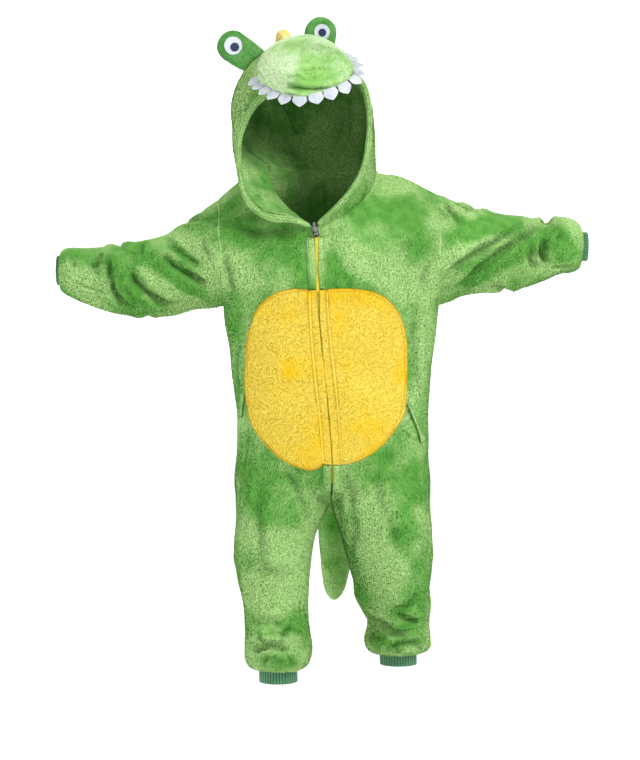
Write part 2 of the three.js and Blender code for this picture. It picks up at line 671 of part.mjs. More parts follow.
// The point of the front at an x and a height, moved out by a lift. It is read off the two front panels' own facets.
function onFront(x, z, lift) {
  for (const side of Object.keys(SIDES)) {
    const { grid } = panels[`front_${side}`];
    for (let i = 0; i + 1 < grid.length; i++) {
      for (let j = 0; j + 1 < grid[0].length; j++) {
        for (const [a, b, c] of splitCell(cellOf(grid, i, j))) {
          const whole = (b.x - a.x) * (c.z - a.z) - (c.x - a.x) * (b.z - a.z);
          if (Math.abs(whole) < 1e-6) continue;
          const v = ((x - a.x) * (c.z - a.z) - (c.x - a.x) * (z - a.z)) / whole;
          const w = ((b.x - a.x) * (z - a.z) - (x - a.x) * (b.z - a.z)) / whole;
          if (v < -1e-9 || w < -1e-9 || v + w > 1 + 1e-9) continue;
          const share = [1 - v - w, v, w];
          const sum = new THREE.Vector3();
          const normal = new THREE.Vector3();
          [a, b, c].forEach((p, k) => {
            sum.addScaledVector(p, share[k]);
            normal.addScaledVector(normalAt(p), share[k]);
          });
          return sum.addScaledVector(normal.normalize(), lift);
        }
      }
    }
  }
  throw new Error(`no front panel at x ${x}, z ${z}`);
}

// A strip or patch that lies on the front, from a grid of x and z places.
function layOnFront(name, places, from, thickness, finish) {
  const at = (lift) => places.map((line) => line.map((p) => onFront(p.x, p.z, lift)));
  addPiece(name, wallGeometry(at(from + thickness), at(from), false), finish);
}

// Where the zip's centre line runs: the seam between the two front panels.
function zipX(z) {
  const seam = panels.front_left.grid.map((line) => line[COLS.body]);
  const i = clamp(seam.findIndex((p) => p.z <= z), 1, seam.length - 1);
  return mix(seam[i - 1].x, seam[i].x, (seam[i - 1].z - z) / (seam[i - 1].z - seam[i].z));
}

// Heights for a strip on the front: its two ends and every row of the front panel between them.
function levelsOnFront(top, bottom) {
  const rows = panels.front_left.grid.map((line) => line[COLS.body].z);
  return [top, ...rows.filter((z) => z < top - 4 && z > bottom + 4), bottom];
}

// Half of the belly patch, from the zip band out to the oval.
function bellyPlaces(side) {
  const { cols, rows } = BELLY_GRID;
  return patch(rows, cols, (i, j) => {
    const angle = radians(mix(-BELLY.last, BELLY.last, i / rows));
    const above = angle > 0;
    const squareness = above ? BELLY.squareUp : BELLY.squareDown;
    const z = BELLY.z + (above ? BELLY.up : BELLY.down[side]) * bent(Math.sin(angle), squareness);
    const rise = BELLY_SCALLOP[side] * (1 - j / cols) ** 2 * Math.max(0, 1 - (2 * i) / rows) ** 4;
    const edge = BELLY.x + SIDES[side] * BELLY.half * bent(Math.cos(angle), squareness);
    const band = zipX(z) + SIDES[side] * (BAND_WIDTH + 1);
    return { x: mix(band, edge, j / cols), z: z + rise };
  });
}

// A stretch of one of the folded bands beside the zip.
function bandPlaces(side, top, bottom, gapTop, gapBottom) {
  const levels = levelsOnFront(top, bottom);
  return patch(levels.length - 1, 2, (i, j) => {
    const z = levels[i];
    const gap = mix(gapTop, gapBottom, (top - z) / (top - bottom));
    return { x: zipX(z) + SIDES[side] * mix(gap, BAND_WIDTH, j / 2), z };
  });
}

for (const side of Object.keys(SIDES)) {
  layOnFront(`belly_${side}`, bellyPlaces(side), LAY_ON, BELLY_RAISE, YELLOW);
  const bands = [
    ["upper", NECK_FRONT.z - 12, BELLY_TOP_Z + 0.4, 3.6, 2.2, GREEN],
    ["belly", BELLY_TOP_Z - 0.4, BELLY_BOTTOM_Z + 0.4, 0.9, 0.9, YELLOW],
    ["lower", BELLY_BOTTOM_Z - 0.4, ZIP.bottom - 4, 0.9, 0.9, GREEN],
  ];
  for (const [part, top, bottom, gapTop, gapBottom, finish] of bands) {
    const places = bandPlaces(side, top, bottom, gapTop, gapBottom);
    layOnFront(`zip_band_${part}_${side}`, places, part === "lower" ? 2 * LAY_ON : LAY_ON, BAND_RAISE, finish);
  }
  const [start, middle, end] = POCKETS[side];
  const line = (t) => ({
    x: (1 - t) ** 2 * start.x + 2 * t * (1 - t) * middle.x + t * t * end.x,
    z: (1 - t) ** 2 * start.z + 2 * t * (1 - t) * middle.z + t * t * end.z,
  });
  const welt = patch(POCKET_WELT.steps, 1, (i, j) => {
    const p = line(i / POCKET_WELT.steps);
    return { x: p.x + (j ? 1 : -1) * POCKET_WELT.half * 0.7, z: p.z + (j ? 1 : -1) * POCKET_WELT.half * 0.35 * SIDES[side] };
  });
  layOnFront(`pocket_${side}`, welt, LAY_ON, POCKET_WELT.raise, GREEN);
}

// Zip: two tapes' width behind the panels, and the closed chain in the gap between them.
function zipPlaces(half) {
  const levels = levelsOnFront(ZIP.top, ZIP.bottom);
  return patch(levels.length - 1, 2, (i, j) => ({ x: zipX(levels[i]) + half * (j - 1), z: levels[i] }));
}
const TAPE_DEPTH = -(FLEECE + 1 + ZIP.tapeThick);
layOnFront("zip_tape", zipPlaces(ZIP.tape), TAPE_DEPTH, ZIP.tapeThick, YELLOW);
layOnFront("zip_chain", zipPlaces(ZIP.chain), TAPE_DEPTH + ZIP.tapeThick + 0.6, ZIP.chainThick, YELLOW);

// A ribbed cuff: a knitted tube whose ribs stand out on its outside.
function cuffGeometry({ at, out, radius, inside, beyond }) {
  const axis = new THREE.Vector3(...out).normalize();
  const across = new THREE.Vector3(0, 1, 0).cross(axis).normalize();
  const up = axis.clone().cross(across);
  const around = 2 * CUFF_RIBS;
  const ring = (along, r, rib) => {
    const points = [];
    for (let j = 0; j <= around; j++) {
      const angle = (2 * Math.PI * j) / around;
      const reach = r + (j % 2 ? 0 : rib);
      points.push(new THREE.Vector3(...at)
        .addScaledVector(axis, along)
        .addScaledVector(across, reach * Math.cos(angle))
        .addScaledVector(up, reach * Math.sin(angle)));
    }
    return points;
  };
  const plain = radius - RIB_HEIGHT;
  const outer = [ring(-inside, plain, RIB_HEIGHT), ring(beyond, plain, RIB_HEIGHT)];
  const inner = [ring(-inside, plain - RIB_KNIT, 0), ring(beyond, plain - RIB_KNIT, 0)];
  return wallGeometry(outer, inner, true);
}
for (const [name, cuff] of Object.entries(CUFFS)) addPiece(`cuff_${name}`, cuffGeometry(cuff), DEEP_GREEN);

// The padded roll along the hood's face edge, from the zip to the forehead.
function hemRings(side, grow) {
  const rings = [];
  for (let i = 0; i <= HOOD_HEM.steps; i++) {
    const b = mix(HOOD_HEM.from[side], HOOD_HEM.to, i / HOOD_HEM.steps);
    const edge = hoodPoint(side, b, 0);
    const back = hoodPoint(side, b, 0.04);
    const next = hoodPoint(side, b + 0.01, 0).sub(hoodPoint(side, b - 0.01, 0)).normalize();
    const out = edge.clone().sub(back).normalize();
    out.addScaledVector(next, -out.dot(next)).normalize();
    const thin = next.clone().cross(out);
    const centre = edge.clone().addScaledVector(out, HOOD_HEM.wide + 4 * HALF_SEAM);
    const ring = [];
    for (let j = 0; j < HOOD_HEM.sides; j++) {
      const angle = (2 * Math.PI * (j + 0.5)) / HOOD_HEM.sides;
      ring.push(centre.clone()
        .addScaledVector(out, (HOOD_HEM.wide + grow) * Math.cos(angle))
        .addScaledVector(thin, (HOOD_HEM.thick + grow) * Math.sin(angle)));
    }
    rings.push(ring);
  }
  return rings;
}
for (const side of Object.keys(SIDES)) addPiece(`hood_hem_${side}`, ringGeometry(hemRings(side, 0)), GREEN);

// The snout's frame: x across it, -y along it and z out of its top.
const snoutFrame = new THREE.Matrix4()
  .makeTranslation(SNOUT.x, SNOUT.y, SNOUT.z)
  .multiply(new THREE.Matrix4().makeRotationZ(radians(SNOUT.turn)))
  .multiply(new THREE.Matrix4().makeRotationY(radians(-SNOUT.tilt)))
  .multiply(new THREE.Matrix4().makeRotationX(radians(SNOUT.nod)));

// A point of the snout's rim: 0 degrees is its left side, -90 its front.
function rimPoint(degrees, share) {
  const angle = radians(degrees);
  return new THREE.Vector3(
    SNOUT.half * share * bent(Math.cos(angle), SNOUT.squareness),
    SNOUT.length * share * bent(Math.sin(angle), SNOUT.squareness),
    0,
  );
}

// The snout before it is fitted to the hood: a padded loaf, domed above its rim and shallow below.
function snoutLoaf(grow) {
  const rings = [];
  const levels = [
    { share: 0.25, low: true }, { share: 0.7, low: true }, { share: 0.92, low: true }, { share: 1 },
    { share: 0.97 }, { share: 0.86 }, { share: 0.68 }, { share: 0.42 }, { share: 0.15 },
  ];
  for (const { share, low } of levels) {
    const rise = (low ? -SNOUT.belly - grow : SNOUT.dome + grow) * (1 - share ** 2.4) ** 0.55;
    const ring = [];
    for (let j = 0; j < SNOUT.around; j++) {
      const p = rimPoint((360 * j) / SNOUT.around, share * (1 + grow / SNOUT.half));
      p.z = rise;
      ring.push(p.applyMatrix4(snoutFrame));
    }
    rings.push(ring);
  }
  return ringGeometry(rings);
}

const wasm = await Module();
wasm.setup();

// A geometry as a solid that can be cut.
function solidOf(geometry) {
  const bare = geometry.index ? geometry.toNonIndexed() : geometry.clone();
  bare.deleteAttribute("normal");
  bare.deleteAttribute("uv");
  const merged = mergeVertices(bare, 1e-3);
  return new wasm.Manifold(new wasm.Mesh({
    numProp: 3,
    vertProperties: merged.attributes.position.array,
    triVerts: new Uint32Array(merged.index.array),
  }));
}

// The largest body of a cut solid, as a geometry.
function geometryOf(solid) {
  const whole = solid.decompose().sort((a, b) => b.volume() - a.volume())[0];
  const mesh = whole.getMesh();
  const geometry = new THREE.BufferGeometry();
  geometry.setAttribute("position", new THREE.BufferAttribute(mesh.vertProperties, 3));
  geometry.setIndex(new THREE.BufferAttribute(mesh.triVerts, 1));
  return geometry.toNonIndexed();
}

// The space that the hood fills, closed over the face and the neck and grown by a clearance.
function hoodSpace(grow) {
  const loopsOf = ([left, right]) => left.map((line, i) => [...line, ...[...right[i]].reverse()]);
  const grids = [panels.hood_left.grid, panels.hood_right.grid];
  const base = loopsOf(grids);
  const loops = loopsOf(grids.map((grid) => movedOut(grid, grid.map((line) => line.map(normalAt)), grow)));
  const positions = [];
  const put = (...points) => points.forEach((p) => positions.push(p.x, p.y, p.z));
  const flat = (a, b, c) => a.distanceTo(b) < 1e-3 || b.distanceTo(c) < 1e-3 || c.distanceTo(a) < 1e-3;
  const n = loops[0].length;
  for (let i = 0; i + 1 < loops.length; i++) {
    for (let j = 0; j < n; j++) {
      const next = (j + 1) % n;
      const cell = splitCell(cellOf(loops, i, j, next), cellOf(base, i, j, next));
      for (const triangle of cell) if (!flat(...triangle)) put(...triangle);
    }
  }
  const middle = loops[0].reduce((sum, p) => sum.add(p), new THREE.Vector3()).divideScalar(n);
  for (let j = 0; j < n; j++) {
    const [a, b] = [loops[0][j], loops[0][(j + 1) % n]];
    if (!flat(a, b, middle)) put(middle, b, a);
  }
  return solidOf(facingOut(positions));
}

const FITTED = 0.5; // clearance of a piece that is cut to its neighbour
const FACE_EDGE_REACH = 1;

// One side of the hood's cloth with a clearance all over, and past its face edge.
function hoodClearance(side) {
  const { grid } = panels[`hood_${side}`];
  const normals = grid.map((line) => line.map(normalAt));
  const reached = trimmed(grid, { start: -FACE_EDGE_REACH });
  return solidOf(wallGeometry(movedOut(reached, normals, FITTED), movedOut(reached, normals, -FLEECE - FITTED), false));
}
const hoodFilled = hoodSpace(FITTED).add(hoodClearance("left")).add(hoodClearance("right"));
let snoutSolid = solidOf(snoutLoaf(0)).subtract(hoodFilled);
for (const side of Object.keys(SIDES)) snoutSolid = snoutSolid.subtract(solidOf(ringGeometry(hemRings(side, FITTED))));
addPiece("snout", geometryOf(snoutSolid), GREEN);

// The rim's angles at even steps along its length, so that a tooth at the side is as wide as one in front.
function evenRimAngles(start, end, steps) {
  const FINE = 480;
  const angles = Array.from({ length: FINE + 1 }, (_, k) => mix(start, end, k / FINE));
  const places = angles.map((angle) => rimPoint(angle, 1));
  const run = [0];
  for (let k = 1; k <= FINE; k++) run.push(run[k - 1] + places[k].distanceTo(places[k - 1]));
  return Array.from({ length: steps + 1 }, (_, i) => {
    const wanted = (run[FINE] * i) / steps;
    const k = clamp(run.findIndex((length) => length >= wanted), 1, FINE);
    return mix(angles[k - 1], angles[k], (wanted - run[k - 1]) / (run[k] - run[k - 1]));
  });
}

// The felt strip of teeth under the snout's rim.
function teethGeometry() {
  const total = TEETH.count * TEETH.steps;
  const angles = evenRimAngles(TEETH.start - 180, TEETH.end - 180, total);
  const line = (lift) => patch(total, 2, (i, j) => {
    const angle = angles[i];
    const place = (i % TEETH.steps) / TEETH.steps;
    const tooth = TEETH.long * (1 - Math.abs(2 * place - 1)) ** TEETH.leaf + TEETH.gum;
    const root = rimPoint(angle, 1 + 0.1 / SNOUT.half);
    const out = rimPoint(angle, 1).normalize();
    out.z = -Math.tan(radians(mix(TEETH.dropSide, TEETH.dropFront, Math.abs(Math.sin(radians(angle))) ** 1.5)));
    out.normalize();
    const side = new THREE.Vector3(-out.z * out.x, -out.z * out.y, Math.hypot(out.x, out.y)).normalize();
    root.z = -0.3;
    return root.addScaledVector(out, 0.4 + (tooth * j) / 2).addScaledVector(side, lift).applyMatrix4(snoutFrame);
  });
  return wallGeometry(line(FELT), line(0), false);
}
addPiece("teeth_strip", geometryOf(solidOf(teethGeometry()).subtract(hoodFilled)), WHITE);

// The outline of an eye stalk: straight sides under a round head.
function stalkShape(grow) {
  const r = EYE_STALK.wide / 2 + grow;
  const shape = new THREE.Shape();
  shape.moveTo(-r * 0.92, 0);
  shape.lineTo(r * 0.92, 0);
  shape.lineTo(r, EYE_STALK.long - r);
  shape.absarc(0, EYE_STALK.long - r, r, 0, Math.PI, false);
  shape.closePath();
  return shape;
}

// A stalk's frame: x across it, y up it and z out of its front face. The table holds the middle of its round head.
function stalkFrame(side) {
  const eye = EYES[side];
  return new THREE.Matrix4()
    .makeTranslation(eye.x, eye.y, eye.z)
    .multiply(new THREE.Matrix4().makeRotationZ(radians(eye.turn)))
    .multiply(new THREE.Matrix4().makeRotationY(radians(eye.lean)))
    .multiply(new THREE.Matrix4().makeRotationX(radians(90)))
    .multiply(new THREE.Matrix4().makeTranslation(0, EYE_STALK.wide / 2 - EYE_STALK.long, -EYE_STALK.thick / 2));
}
const snoutGrown = solidOf(snoutLoaf(FITTED));
for (const side of Object.keys(SIDES)) {
  const frame = stalkFrame(side);
  const padded = new THREE.ExtrudeGeometry(stalkShape(0), {
    depth: EYE_STALK.thick - 2 * EYE_STALK.round,
    bevelThickness: EYE_STALK.round,
    bevelSize: EYE_STALK.round,
    bevelOffset: -EYE_STALK.round,
    bevelSegments: 2,
    curveSegments: 8,
  });
  padded.translate(0, 0, EYE_STALK.round);
  const stalk = solidOf(padded.applyMatrix4(frame)).subtract(hoodFilled).subtract(snoutGrown);
  addPiece(`eye_stalk_${side}`, geometryOf(stalk), GREEN);
  const centreY = EYE_STALK.long - EYE_STALK.wide / 2;
  const { white, pupil, lookX, lookY } = EYES[side];
  const disc = (radius, thick, x, y, z) => {
    const shape = new THREE.Shape().absarc(x, centreY + y, radius, 0, 2 * Math.PI, false);
    const flat = new THREE.ExtrudeGeometry(shape, { depth: thick, bevelEnabled: false, curveSegments: 10 });
    return flat.translate(0, 0, z).applyMatrix4(frame);
  };
  const face = EYE_STALK.thick + 2 * HALF_SEAM;
  addPiece(`eye_white_${side}`, disc(white, FELT, 0, 0, face), WHITE);
  const onWhite = face + FELT + 2 * HALF_SEAM;
  addPiece(`eye_pupil_${side}`, disc(pupil, PUPIL_THICK, lookX, lookY, onWhite), NAVY);
}

// A padded spike on a seam line: its base follows the line and its point stands away from a centre.
function spikeGeometry(line, outward, lift, { from, to, high }) {
  const middle = (from + to) / 2;
  const origin = line(middle);
  const along = line(to).sub(line(from)).normalize();
  const up = outward(middle);
  up.addScaledVector(along, -up.dot(along)).normalize();
  const across = up.clone().cross(along).negate();
  const flat = (p) => {
    const off = p.clone().sub(origin);
    return new THREE.Vector2(off.dot(along), off.dot(up));
  };
  const base = [0, 0.25, 0.5, 0.75, 1].map((t) => flat(line(mix(from, to, t))).add(new THREE.Vector2(0, lift)));
  const [left, right] = [base[0], base[4]];
  const shape = new THREE.Shape([...base]);
  const tip = (left.x + right.x) / 2;
  shape.bezierCurveTo(right.x * 0.95, high * 0.5, tip + high * 0.3, high, tip, high);
  shape.bezierCurveTo(tip - high * 0.3, high, left.x * 0.95, high * 0.5, left.x, left.y);
  const solid = new THREE.ExtrudeGeometry(shape, {
    depth: SPIKE.thick - 2 * SPIKE.bevel,
    bevelThickness: SPIKE.bevel,
    bevelSize: SPIKE.bevel,
    bevelOffset: -SPIKE.bevel,
    bevelSegments: 1,
    curveSegments: 3,
  });
  solid.translate(0, 0, SPIKE.bevel - SPIKE.thick / 2);
  const frame = new THREE.Matrix4().makeBasis(along, up, along.clone().cross(up)).setPosition(origin);
  return solid.applyMatrix4(frame);
}

// Lines that the spikes stand on, and the way out of the cloth there.
const backLine = (t) => {
  const z = mix(NECK_BACK.z, RISE_TOP_Z + 30, t);
  if (z <= ARMPIT_Z) return torsoPoint("left", "back", 1, z);
  return yokePoint("left", "back", 1, (z - ARMPIT_Z) / (NECK_BACK.z - ARMPIT_Z));
};
const seamLine = (t) => V(alongTable(HOOD_SEAM, t));
const tailLine = (t) => {
  const row = alongTable(TAIL, t);
  const before = V(alongTable(TAIL, t - 0.02));
  const after = V(alongTable(TAIL, t + 0.02));
  const along = after.sub(before).normalize();
  const out = new THREE.Vector3(1, 0, 0).cross(along).normalize();
  if (out.y < 0) out.negate();
  return V(row).addScaledVector(out, row.radius);
};
const SPIKE_SEATS = {
  hood: { line: seamLine, lift: -1, outward: (t) => seamLine(t).sub(new THREE.Vector3(-48, 10, 100)) },
  back: { line: backLine, lift: 0.5, outward: () => new THREE.Vector3(0, 1, 0) },
  tail: { line: tailLine, lift: 0.35, outward: (t) => tailLine(t).sub(V(alongTable(TAIL, t))) },
};
for (const [place, rows] of Object.entries(SPIKES)) {
  const { line, lift, outward } = SPIKE_SEATS[place];
  rows.forEach((spike, k) => {
    const geometry = spikeGeometry(line, outward, lift, spike);
    const fitted = place === "hood" ? geometryOf(solidOf(geometry).subtract(hoodFilled)) : geometry;
    addPiece(`spike_${place}_${k + 1}`, fitted, YELLOW);
  });
}

// Tail
function tailRings() {
  const steps = 12;
  const rings = [];
  for (let i = 0; i <= steps; i++) {
    const t = i / steps;
    const row = alongTable(TAIL, t);
    const along = V(alongTable(TAIL, t + 0.02)).sub(V(alongTable(TAIL, t - 0.02))).normalize();
    const across = new THREE.Vector3(1, 0, 0);
    const out = across.clone().cross(along).normalize();
    const ring = [];
    for (let j = 0; j < TAIL_SIDES; j++) {
      const angle = (2 * Math.PI * j) / TAIL_SIDES + Math.PI / 2;
      ring.push(V(row)
        .addScaledVector(across, row.radius * Math.cos(angle))
        .addScaledVector(out, row.radius * Math.sin(angle)));
    }
    rings.push(ring);
  }
  return rings;
}

// The space inside the back panels, down to the fork, grown by a clearance.
function bodySpace(grow) {
  const rings = [];
  const levels = [-250, -300, -345, -385, -415, -440];
  for (const z of levels) {
    const ring = [];
    for (const [side, face, forward] of [
      ["left", "front", true], ["right", "front", false], ["right", "back", true], ["left", "back", false],
    ]) {
      for (let j = 0; j < 8; j++) {
        const u = forward ? j / 8 : 1 - j / 8;
        const p = torsoPoint(side, face, u, z);
        const out = new THREE.Vector3(p.x, p.y, 0).normalize();
        ring.push(p.addScaledVector(out, grow));
      }
    }
    rings.push(ring);
  }
  return solidOf(ringGeometry(rings));
}
const tailSolid = solidOf(ringGeometry(tailRings())).subtract(bodySpace(1.2));
addPiece("tail", geometryOf(tailSolid), GREEN);

// Slider and pull, in a frame at the slider's centre: x along the pin, z up the zip, -y away from the cloth.
const sliderAt = onFront(zipX(ZIP.top + 2), ZIP.top + 2, 0);
const sliderFrame = new THREE.Matrix4()
  .makeTranslation(sliderAt.x, sliderAt.y - 0.8, sliderAt.z)
  .multiply(new THREE.Matrix4().makeRotationY(radians(SLIDER.lean)));
function sliderGeometry() {
  const { wide, tall, thick, lug, pin, pinOut } = SLIDER;
  const w = wide / 2;
  const shape = new THREE.Shape();
  shape.moveTo(-w * 0.6, -tall / 2);
  shape.lineTo(w * 0.6, -tall / 2);
  shape.quadraticCurveTo(w, -tall / 6, w, tall / 3);
  shape.quadraticCurveTo(w * 0.9, tall / 2, 0, tall / 2);
  shape.quadraticCurveTo(-w * 0.9, tall / 2, -w, tall / 3);
  shape.quadraticCurveTo(-w, -tall / 6, -w * 0.6, -tall / 2);
  const plate = new THREE.ExtrudeGeometry(shape, { depth: thick, bevelEnabled: false, curveSegments: 4 });
  plate.rotateX(radians(90));
  let solid = solidOf(plate);
  for (const sign of [-1, 1]) {
    const ear = new THREE.CylinderGeometry(lug + 0.5, lug + 0.5, 1, 12).rotateZ(radians(90));
    ear.translate(sign * (w - 0.5), -thick - pinOut, 0);
    const neck = new THREE.BoxGeometry(1, pinOut + 1, 2 * lug).translate(sign * (w - 0.5), -thick - pinOut / 2 + 0.4, 0);
    solid = solid.add(solidOf(ear)).add(solidOf(neck));
  }
  const bar = new THREE.CylinderGeometry(pin, pin, wide - 1, 10).rotateZ(radians(90)).translate(0, -thick - pinOut, 0);
  return geometryOf(solid.add(solidOf(bar)));
}
const slider = addPiece("zip_slider", sliderGeometry(), STEEL);
slider.applyMatrix4(sliderFrame);

// The pull tab: an eye round the slider's pin and a flat tongue, flipped up and leaning back.
function pullGeometry() {
  const { wide, long, thick, bore } = PULL;
  const eye = bore + 1;
  const ring = new THREE.Shape().absarc(0, 0, eye, 0, 2 * Math.PI, false);
  const hub = new THREE.ExtrudeGeometry(ring, { depth: wide, bevelEnabled: false, curveSegments: 10 });
  hub.translate(0, 0, -wide / 2).rotateY(radians(90));
  const hole = new THREE.CylinderGeometry(bore, bore, 2 * wide, 20).rotateZ(radians(90));
  const tongue = new THREE.Shape();
  const w = wide / 2;
  tongue.moveTo(-w, bore + 0.5);
  tongue.lineTo(w, bore + 0.5);
  tongue.lineTo(w * 0.8, long - w * 0.8);
  tongue.absarc(0, long - w * 0.8, w * 0.8, 0, Math.PI, false);
  const plate = new THREE.ExtrudeGeometry(tongue, { depth: thick, bevelEnabled: false, curveSegments: 5 });
  plate.translate(0, 0, -thick / 2).rotateX(radians(90));
  return geometryOf(solidOf(hub).add(solidOf(plate)).subtract(solidOf(hole)));
}
const pull = addPiece("zip_pull", pullGeometry(), STEEL);
pull.applyMatrix4(sliderFrame.clone()
  .multiply(new THREE.Matrix4().makeTranslation(0, -SLIDER.thick - SLIDER.pinOut, 0))
  .multiply(new THREE.Matrix4().makeRotationX(radians(-PULL.leanBack))));

export default costume;
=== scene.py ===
# A toddler's crocodile costume in plush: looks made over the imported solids.
import math
from collections import Counter

import bmesh
import bpy
import numpy as np
from mathutils import Matrix, Vector, noise
from mathutils.bvhtree import BVHTree
from mathutils.kdtree import KDTree


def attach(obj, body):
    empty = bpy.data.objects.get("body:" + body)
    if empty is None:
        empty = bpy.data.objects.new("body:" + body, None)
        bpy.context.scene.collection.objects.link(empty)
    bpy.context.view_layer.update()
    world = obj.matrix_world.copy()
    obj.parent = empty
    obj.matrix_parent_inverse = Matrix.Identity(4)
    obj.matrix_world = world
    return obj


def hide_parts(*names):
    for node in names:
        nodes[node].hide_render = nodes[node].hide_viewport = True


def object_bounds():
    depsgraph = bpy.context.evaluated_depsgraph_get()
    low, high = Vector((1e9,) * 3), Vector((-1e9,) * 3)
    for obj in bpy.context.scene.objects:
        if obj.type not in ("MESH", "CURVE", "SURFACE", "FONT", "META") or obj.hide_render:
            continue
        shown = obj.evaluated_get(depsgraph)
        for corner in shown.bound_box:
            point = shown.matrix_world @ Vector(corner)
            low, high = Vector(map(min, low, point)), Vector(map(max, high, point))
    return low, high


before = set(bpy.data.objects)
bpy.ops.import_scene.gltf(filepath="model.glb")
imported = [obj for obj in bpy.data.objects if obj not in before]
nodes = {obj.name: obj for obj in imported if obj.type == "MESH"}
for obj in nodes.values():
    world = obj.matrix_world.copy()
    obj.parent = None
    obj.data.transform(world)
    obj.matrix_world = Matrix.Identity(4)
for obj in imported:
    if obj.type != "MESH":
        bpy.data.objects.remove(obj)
cad_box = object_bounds()
MM = 0.001
SIDES = ("left", "right")


# Camera: the photograph's view, level with the belly and a little above it.
LOOK_AT = Vector((-0.015, 0, -0.285))
CAMERA_AWAY = 3.3
CAMERA_RISE = math.radians(3)
PHOTO_SIZE = (640, 760)
PHOTO_FOCAL = 2200
SENSOR = 36


def place_camera():
    data = bpy.data.cameras.new("camera")
    data.sensor_width = SENSOR
    data.lens = SENSOR * PHOTO_FOCAL / max(PHOTO_SIZE)
    data.clip_end = 20
    camera = bpy.data.objects.new("camera", data)
    bpy.context.scene.collection.objects.link(camera)
    camera.location = LOOK_AT + CAMERA_AWAY * Vector((0, -math.cos(CAMERA_RISE), math.sin(CAMERA_RISE)))
    camera.rotation_euler = (math.pi / 2 - CAMERA_RISE, 0, 0)
    bpy.context.scene.camera = camera
    bpy.context.view_layer.update()
    return camera


camera = place_camera()


def photo_ray(px, py):
    """The ray from the camera through a place in the photograph."""
    right, up, back = (Vector(row[:3]) for row in camera.matrix_world.transposed()[:3])
    across = (px - PHOTO_SIZE[0] / 2) / PHOTO_FOCAL
    above = (PHOTO_SIZE[1] / 2 - py) / PHOTO_FOCAL
    return camera.location.copy(), (right * across + up * above - back).normalized()


# Materials
def set_inputs(tree, node, inputs):
    """Sets a node's inputs, and links those that are given another node's socket."""
    for key, value in inputs.items():
        if isinstance(value, bpy.types.NodeSocket):
            tree.links.new(value, node.inputs[key])
        else:
            node.inputs[key].default_value = value


def node_adder(tree):
    """A maker of this tree's nodes."""

    def add(kind, inputs=None, **settings):
        node = tree.nodes.new(kind)
        for key, value in settings.items():
            setattr(node, key, value)
        set_inputs(tree, node, inputs or {})
        return node

    return add


def maths(add, operation, *values):
    return add("ShaderNodeMath", dict(enumerate(values)), operation=operation).outputs[0]


def new_material(name):
    material = bpy.data.materials.new(name)
    material.use_nodes = True
    return material


def feed(material, inputs):
    """Sets or links inputs of a material's shader."""
    tree = material.node_tree
    set_inputs(tree, tree.nodes["Principled BSDF"], inputs)
    return material


def stuff(name):
    """A new material, its node maker and the place on the object that its patterns follow."""
    material = new_material(name)
    add = node_adder(material.node_tree)
    return material, add, add("ShaderNodeTexCoord").outputs["Object"]


def colour(hexa):
    """A hex colour as the linear values that a shader takes."""
    parts = [int(hexa[i : i + 2], 16) / 255 for i in (0, 2, 4)]
    return (*[c / 12.92 if c <= 0.04045 else ((c + 0.055) / 1.055) ** 2.4 for c in parts], 1)


def speckle(add, place, scale, detail, rough=0.5, bend=0.0):
    inputs = {"Vector": place, "Scale": scale, "Detail": detail, "Roughness": rough, "Distortion": bend}
    return add("ShaderNodeTexNoise", inputs).outputs["Fac"]


def kept_at(add, name):
    """A value that the mesh keeps at each point."""
    return add("ShaderNodeAttribute", attribute_name=name).outputs["Fac"]


def spread(add, value, low, high, to_low=0.0, to_high=1.0, kind="LINEAR"):
    """A value moved from one range to another."""
    inputs = {"Value": value, "From Min": low, "From Max": high, "To Min": to_low, "To Max": to_high}
    return add("ShaderNodeMapRange", inputs, interpolation_type=kind).outputs["Result"]


def two_tones(add, share, deep, pale, low=0.0, high=1.0):
    """A deep tone below a share, a pale one above another, and their blends between."""
    ramp = add("ShaderNodeValToRGB", {"Fac": share})
    for stop, position, tone in zip(ramp.color_ramp.elements, (low, high), (deep, pale)):
        stop.position = position
        stop.color = colour(tone)
    return ramp.outputs["Color"]


def bumps(add, height, strength, depth):
    inputs = {"Height": height, "Strength": strength, "Distance": depth}
    return add("ShaderNodeBump", inputs).outputs["Normal"]


NAP_SOFT = 0.28
# How dark the painted shade in the troughs of folds is, as a share of the deep brushed tone.
CREASE_PAINTED_SHADE = 0.42
STANDS_FROM = 0.35


def plush(name, brushed, standing, stands_from=STANDS_FROM, blades=False):
    """Short-pile fleece: smooth and deep where its nap is brushed flat, pale and flecked where it stands, and
    darkened by painted shade in the troughs of its folds.
    """
    material, add, place = stuff(name)

    def blend(share, low, high):
        return add("ShaderNodeMix", {0: share, 6: low, 7: high}, data_type="RGBA").outputs[2]

    # The kept nap also carries patches of painted light and painted shade.
    nap = maths(add, "ADD", speckle(add, place, 15, 4, 0.55), kept_at(add, "nap"))
    stands = spread(add, nap, stands_from, stands_from + NAP_SOFT, kind="SMOOTHSTEP")
    fine = speckle(add, place, 430, 2, 0.65)
    fleck = spread(add, fine, 0.36, 0.6)
    shade = spread(add, speckle(add, place, 70, 3, 0.6), 0.32, 0.68)
    if blades:
        tone = kept_at(add, "tone")
        fleck = maths(add, "MULTIPLY", maths(add, "MULTIPLY_ADD", tone, 0.6, 0.7), fleck)
        shade = maths(add, "MULTIPLY_ADD", tone, 0.2, shade)
    else:
        feed(material, {"Normal": bumps(add, fine, 0.3, 0.4 * MM)})
    flat = blend(shade, colour(brushed[0]), colour(brushed[1]))
    upright = blend(fleck, colour(standing[0]), colour(standing[1]))
    # Painted shade: the tone that the troughs of folds are darkened towards.
    painted_crease_shade = tuple(CREASE_PAINTED_SHADE * part for part in colour(brushed[0])[:3]) + (1,)
    return feed(material, {
        "Base Color": blend(kept_at(add, "crease"), blend(stands, flat, upright), painted_crease_shade),
        "Roughness": 0.92,
        "Specular IOR Level": 0.2,
        "Sheen Weight": 0.35,
        "Sheen Roughness": 0.5,
        "Sheen Tint": colour(standing[1]),
    })


